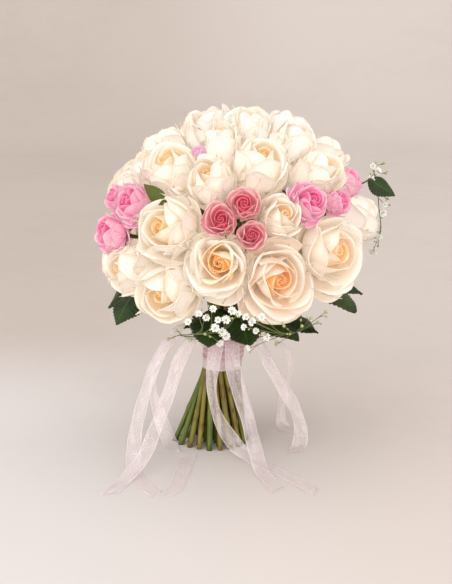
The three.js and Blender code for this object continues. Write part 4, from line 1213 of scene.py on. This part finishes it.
def fan(azimuths, reach, height, elevation, length, width, inward=0, second=False):
    """Twigs that fork close to the bundle: each a route and its leaflets' root, run, length and width."""
    start = around(azimuths[0], COLLAR_REACH, COLLAR_HEIGHT)
    hub = around(azimuths[0], HUB_REACH, HUB_HEIGHT)
    fork = hub - unit(hub - start) * 2
    twigs = []
    for i, azimuth in enumerate(azimuths):
        tip = [around(azimuth, 0.7 * reach, height - 4), around(azimuth, reach, height)]
        route = through([fork, *tip] if i else [start, hub, *tip], 13)
        leaflets = [(route[-1], direction(azimuth + inward, elevation), length, width)]
        if second:
            for side, k, size in SIDE_LEAFLETS:
                run = direction(azimuth + side, elevation + 6)
                leaflets.append((route[k], run, size * length, size * width))
        twigs.append((route, leaflets))
    return twigs


def make_leafy(name, node, twigs, seed, face=(0, 0, 1), tucked=()):
    """Twigs of leaves, and leaves tucked between blooms, each given by its root, tip and width."""
    draws = np.random.default_rng(seed)
    pile = Pile(LEAF)
    for route, leaflets in twigs:
        add_stalk(pile, route, np.linspace(*STALK_RADII, len(route)))
        for root, run, length, width in leaflets:
            leaf_blade(pile, root - run * 1.5, run, face, length, width, GREEN * draws.random())
    for root, tip, width in tucked:
        outwards = unit(tip - HEAD_CENTRE)
        add_stalk(pile, np.linspace(HEAD_CENTRE + outwards * STEM_ZONE, root, 5), TUCKED_RADIUS)
        leaf_blade(pile, root, tip - root, outwards, np.linalg.norm(tip - root), width, OLIVE)
    made = pile.piece(name, "leaf_green", node)
    print(made.name, "has", sum(len(leaflets) for _, leaflets in twigs) + len(tucked), "leaves")


# %% Leaves
front_twigs = fan([12, -10], 60, 153, -22, 48, 40, second=True)
front_twigs += fan([44, 64], 60, 146, -18, 46, 38, second=True)
make_leafy("leaves_front", "leaf_spray_front", front_twigs, 1)
OLIVE_ROOT, OLIVE_TIP = (166, 204, 128), (144, 185, 149)  # column, row and reach
olive_leaf = (seen_on_ball(*OLIVE_ROOT), seen_on_ball(*OLIVE_TIP), 14)
left_twigs = fan([-68, -98], 98, 164, -42, 36, 36, inward=24)
make_leafy("leaves_left", "leaf_spray_left", left_twigs, 2, tucked=[olive_leaf])
make_leafy("leaves_back", "leaf_spray_back", fan([180, 138, 218], 64, 148, -20, 48, 36), 3)
make_leafy("leaves_right", "leaf_spray_right", fan([70, 98], 100, 181, -30, 50, 46, inward=-14), 4)
upper_way = direction(97, 27)
upper_route = through([HEAD_CENTRE + upper_way * reach for reach in (82, 96, 124, 152)], 12)
upper_twig = (upper_route, [(upper_route[-1], direction(74, -26), 31, 21)])
make_leafy("leaf_upper", "leaf_upper_right", [upper_twig], 5, face=(0, -0.7, 0.7))

# %% [markdown]
# ## Baby's breath
# Each floret is a tiny double flower, a few millimetres wide, with three rounds of notched white petals
# in a green cup. Round buds sit on the same thin, forking twigs. The main twigs follow the CAD stalks,
# and their florets stand where the photograph shows them. Copies of one floret would save work, but each
# is made anew, so that no two open alike.

# %% Baby's breath finishes
def floret_finish():
    finish = Finish("floret_white", Roughness=0.6, Subsurface_Weight=0.3,
                    Subsurface_Radius=(0.002, 0.002, 0.0018), Subsurface_Scale=1.0, Specular_IOR_Level=0.3)
    rise, round_it, chance = finish.mark("floret_place")
    veins = finish.noise(1.0, 2.0, finish.place(round_it * 40, rise * 2, chance))
    colour = finish.mix(rise.step(0.0, 0.7), shade(226, 232, 196), shade(253, 252, 246))
    colour = finish.mix((veins - 0.5).step(0.0, 0.4) * 0.2, colour, shade(232, 234, 220))
    finish.set("Base Color", colour)
    finish.bump(veins, 0.0002, 0.3)
    return finish.material


def twig_finish():
    finish = Finish("twig_green", Roughness=0.55, Specular_IOR_Level=0.35)
    rise, _, chance = finish.mark("floret_place")
    mottle = finish.noise(300.0, 3.0)
    colour = finish.mix(mottle.step(0.35, 0.65), shade(70, 88, 40), shade(110, 122, 62))
    colour = finish.mix(chance * 0.5 + rise * 0.5, colour, shade(180, 190, 128))
    finish.set("Base Color", colour)
    finish.bump(mottle, 0.0002, 0.3)
    return finish.material


FLORET, TWIG = floret_finish(), twig_finish()
WHITE_PART, GREEN_PART = 0, 1
print("baby's breath finishes:", FLORET.name, TWIG.name)

# %% Florets and buds
PETAL_ROUNDS = [(7, 1.0, 0.45), (6, 0.74, 0.85), (4, 0.45, 1.25)]  # petals, size and lean
FLORET_THICKNESS = 0.12
BUD_SIDES = 8


def axes_for(axis):
    """Three axes at right angles, of which the last is the given one."""
    side = unit(np.cross(axis, [0.2, 0.3, 1.0]))
    return np.stack([side, np.cross(axis, side), axis])


def add_floret(pile, centre, axis, radius, draws):
    axes = axes_for(axis)
    t = np.linspace(0, 1, 4)[:, None]
    u = np.linspace(-1, 1, 5)[None, :]
    for layer, (count, reach, lean) in enumerate(PETAL_ROUNDS):
        for i in range(count):
            turn = 2 * math.pi * (i + 0.5 * layer) / count + draws.normal(0, 0.15)
            tilt = lean + draws.normal(0, 0.15)
            half = radius * reach * (0.16 + 0.42 * np.sin(t * 2.2)) * 0.8
            out = radius * reach * t * (1 - 0.14 * (u == 0) * t)
            curve = 0.25 * radius * reach * (t ** 2) * np.cos(u * 2)
            x = 0.1 * radius + out * math.cos(tilt) - curve * math.sin(tilt)
            z = out * math.sin(tilt) + curve * math.cos(tilt) * 0.6 - 0.2 * radius
            petal = spun(np.stack(np.broadcast_arrays(x, u * half, z), -1), turn)[:, ::-1]
            back = petal - surface_normals(petal) * FLORET_THICKNESS
            marks = np.stack(np.broadcast_arrays(t, u[:, ::-1] * 0.3 + turn, draws.random()), -1)
            marks = marks.reshape(-1, 3)
            part = shell(centre + petal @ axes, centre + back @ axes)
            pile.add(part, WHITE_PART, floret_place=np.concatenate([marks, marks]))
    path = centre + axis * radius * np.array([-0.75, -0.5, -0.25, 0.0])[:, None]
    cup = tube(path, radius * np.array([0.12, 0.3, 0.36, 0.3]), 7)
    pile.add(cup, GREEN_PART, floret_place=np.array([0.3, 0.0, 0.4]))


def add_bud(pile, centre, axis, radius):
    path = centre + axis * radius * np.array([-1.1, -0.8, -0.3, 0.3, 0.8, 1.15])[:, None]
    part = tube(path, radius * np.array([0.2, 0.62, 0.95, 0.95, 0.6, 0.12]), BUD_SIDES)
    rise = np.repeat(np.linspace(0, 1.4, len(path)), BUD_SIDES)
    marks = np.stack([rise, 0 * rise, 0 * rise + 0.5], -1)
    pile.add(part, GREEN_PART, floret_place=marks)


# %% Forking twigs
FLORET_RADIUS, BUD_RADIUS = 3.8, 1.6
MAIN_RADII, END_RADII = (0.6, 0.35), (0.4, 0.28)  # of a stalk and a twig, at root and tip
STALK_POINTS, TWIG_POINTS = 31, 8
TWIG_TINT = 0.3  # how pale the thin twigs are beside the stalks


def add_twig(pile, path, radii, sides, paleness):
    pile.add(tube(path, radii, sides), GREEN_PART, floret_place=np.array([0.0, 0.0, paleness]))


def add_end(pile, stalk, at, to, is_floret, draws):
    """A twig from a share of the stalk's length to a floret or bud, with a smaller bud beside it."""
    last = len(stalk) - 1
    k = min(int(0.98 * at * last), last - 1)
    root, forward = stalk[k], unit(stalk[k + 1] - stalk[k])
    reach = np.linalg.norm(to - root)
    corners = [root, root + forward * reach * 0.4, to - unit(to - root) * reach * 0.3, to]
    way = bezier(corners, TWIG_POINTS)
    add_twig(pile, way, np.linspace(*END_RADII, TWIG_POINTS), 5, TWIG_TINT)
    axis = unit(way[-1] - way[-2])
    if is_floret:
        add_floret(pile, to, axis, FLORET_RADIUS * draws.uniform(0.8, 1.1), draws)
    else:
        add_bud(pile, to, axis, BUD_RADIUS * draws.uniform(0.8, 1.1))
    side = to + unit(draws.normal(0, 1, 3)) * draws.uniform(4, 6)
    add_twig(pile, bezier([way[5], way[6], (way[6] + side) / 2, side], 5), END_RADII[1], 5, TWIG_TINT)
    add_bud(pile, side, unit(side - way[6]), draws.uniform(0.7, 1.2))


def make_breath(name, node, stalks, seed):
    """Stalks, each with its route, the ends that hold florets and the ends that hold buds."""
    draws = np.random.default_rng(seed)
    pile = Pile(FLORET, TWIG)
    for route, florets, buds in stalks:
        stalk = through(route, STALK_POINTS)
        add_twig(pile, stalk, np.linspace(*MAIN_RADII, STALK_POINTS), 6, 0.0)
        for at, to in florets:
            add_end(pile, stalk, at, to, True, draws)
        for at, to in buds:
            add_end(pile, stalk, at, to, False, draws)
    made = pile.piece(name, "floret_white", node)
    print(made.name, "has", sum(len(florets) for _, florets, _ in stalks), "florets")


# %% Baby's breath
# Each end of a twig that the photograph shows: the share of the stalk where its twig leaves it, its
# column and row in the photograph, and its distance from the head's centre.
LEFT_FLORETS = [
    (0.86, 199, 314, 152), (0.9, 213, 309, 152), (0.8, 188, 322, 152), (0.98, 215, 328, 152),
    (1, 226, 320, 152), (1, 226, 336, 146), (0.95, 220, 343, 140), (1, 232, 311, 152),
    (0.92, 218, 320, 152), (0.96, 222, 332, 148), (1, 238, 314, 152), (0.84, 206, 318, 152),
]
LEFT_BUDS = [(0.7, 176, 330, 140), (0.64, 168, 339, 134), (0.7, 190, 340, 136), (0.8, 205, 334, 146)]
MIDDLE_FLORETS = [
    (1, 244, 327, 152), (1, 252, 322, 156), (1, 262, 317, 158), (0.96, 267, 337, 150),
    (0.92, 249, 348, 138), (1, 246, 317, 156), (0.98, 256, 331, 150),
]
MIDDLE_BUDS = [
    (0.9, 290, 334, 144), (0.8, 326, 312, 142), (0.88, 276, 345, 138), (0.8, 311, 318, 146),
    (0.84, 302, 326, 142), (0.86, 284, 326, 148), (0.76, 318, 322, 138),
]
# At the right the last number is the depth instead.
RIGHT_FLORETS = [
    (1, 373, 166, 22), (0.9, 371, 179, 18), (0.94, 378, 171, 26), (0.72, 385, 205, 20),
    (0.6, 379, 237, 14), (0.66, 383, 213, 24), (0.5, 373, 252, 12),
]
RIGHT_BUDS = [(0.97, 384, 163, 30), (0.9, 386, 173, 34), (0.76, 388, 199, 30), (0.56, 378, 246, 22)]


def ends(table, seen):
    return [(at, seen(*place)) for at, *place in table]


hub = around(-12, 27, COLLAR_HEIGHT)
left_route = [
    around(-9.5, COLLAR_REACH, COLLAR_HEIGHT), hub, around(-26, 48, 122), around(-32, 72, 128),
    around(-28, 94, 136), around(-16, 110, 143), around(-4, 116, 148),
]
middle_route = [
    hub + np.array([-1, 0, 0]), around(14, 36, 120), around(34, 52, 122), around(44, 78, 129),
    around(42, 100, 136), around(30, 114, 142),
]
right_way = direction(99, 4)
right_route = [HEAD_CENTRE + right_way * reach for reach in (81, 96, 124, 148)]
right_route += [(166, 34, 236), (163, 38, 262), (157, 34, 280)]
front_stalks = [
    (left_route, ends(LEFT_FLORETS, seen_on_ball), ends(LEFT_BUDS, seen_on_ball)),
    (middle_route, ends(MIDDLE_FLORETS, seen_on_ball), ends(MIDDLE_BUDS, seen_on_ball)),
]
right_stalks = [(right_route, ends(RIGHT_FLORETS, seen_at_depth), ends(RIGHT_BUDS, seen_at_depth))]
make_breath("babys_breath_low", "babys_breath_front", front_stalks, 11)
make_breath("babys_breath_side", "babys_breath_right", right_stalks, 12)

# %% [markdown]
# ## The backdrop and the light
# The photograph has a pale, warm wall and floor that melt into each other, and broad, soft light. One
# curved sheet makes both wall and floor. Its colour holds painted light and shade: the floor is painted
# lighter than the wall, and both change from left to right. A large lamp up at the left gives the gentle
# shading, a second, low one at the right stands for the light that the pale floor sends up from the
# front, and the world adds light from all round.

# %% Stage
BEND_START, BEND_RADIUS = 1.7, 1.2  # in metres, as all of the stage
HALF_WIDTH, FRONT_EDGE, WALL_TOP = 9.0, -9.0, 4.0


def plaster_finish():
    finish = Finish("backdrop_plaster", Roughness=0.9, Specular_IOR_Level=0.1)
    x, y, _ = finish.parts(finish.here())
    right, behind = x.step(-0.25, 0.25), y.step(0.05, 0.42)
    mottle = finish.noise(2.1, 3.0) * 0.75 + finish.noise(28.0, 5.0) * 0.25
    # Painted light and shade: the floor is lighter than the wall, and both change from left to right.
    floor = finish.mix(right, shade(214, 209, 208), shade(210, 200, 194))
    wall = finish.mix(right, shade(193, 182, 175), shade(204, 195, 189))
    colour = finish.mix(behind, floor, wall)
    finish.set("Base Color", finish.mix(0.86 + mottle * 0.28, BLACK, colour))
    finish.bump(finish.noise(60.0, 4.0), 0.001, 0.15)
    return finish.material


def backdrop():
    angles = np.linspace(0, math.pi / 2, 24)
    bend = [(BEND_START + BEND_RADIUS * math.sin(a), BEND_RADIUS * (1 - math.cos(a))) for a in angles]
    line = [(FRONT_EDGE, 0.0), *bend, (BEND_START + BEND_RADIUS, WALL_TOP)]
    rows = np.array([[(x, y, z) for x in (-HALF_WIDTH, HALF_WIDTH)] for y, z in line])
    quads = [[2 * i, 2 * i + 1, 2 * i + 3, 2 * i + 2] for i in range(len(line) - 1)]
    mesh = bpy.data.meshes.new("backdrop")
    mesh.from_pydata(rows.reshape(-1, 3).tolist(), [], quads)
    mesh.polygons.foreach_set("use_smooth", [True] * len(quads))
    mesh.materials.append(plaster_finish())
    made = bpy.data.objects.new("backdrop", mesh)
    bpy.context.scene.collection.objects.link(made)
    print("backdrop:", len(quads), "strips")


backdrop()

# %% Light
def lamp(name, place, size, power, tint):
    """A round lamp in metres and watts, aimed at the middle of the head."""
    light = bpy.data.lights.new(name, "AREA")
    light.shape, light.size, light.energy, light.color = "DISK", size, power, tint
    made = bpy.data.objects.new(name, light)
    made.location = place
    aim = Vector(HEAD_CENTRE * MM) - Vector(place)
    made.rotation_mode = "QUATERNION"
    made.rotation_quaternion = aim.to_track_quat("-Z", "Y")
    bpy.context.scene.collection.objects.link(made)


lamp("key_lamp", (-2.5, -3.05, 2.0), size=4.3, power=68, tint=(1, 0.99, 0.985))
lamp("fill_lamp", (1.44, -3.05, 0.66), size=1.5, power=21, tint=(1, 0.985, 0.965))
world = bpy.data.worlds.new("soft_room")
bpy.context.scene.world = world
world.use_nodes = True
room_light = world.node_tree.nodes["Background"].inputs
room_light["Color"].default_value = (1, 0.98, 0.96, 1)
room_light["Strength"].default_value = 1.22
bpy.context.scene.view_settings.view_transform = "Standard"

# %% Sizes and the end
made = [o for o in bpy.context.scene.objects if o.type == "MESH" and o.name not in nodes]
print("triangles:", {o.name: sum(len(f.vertices) - 2 for f in o.data.polygons) for o in made})
print("in all:", sum(len(f.vertices) - 2 for o in made for f in o.data.polygons))
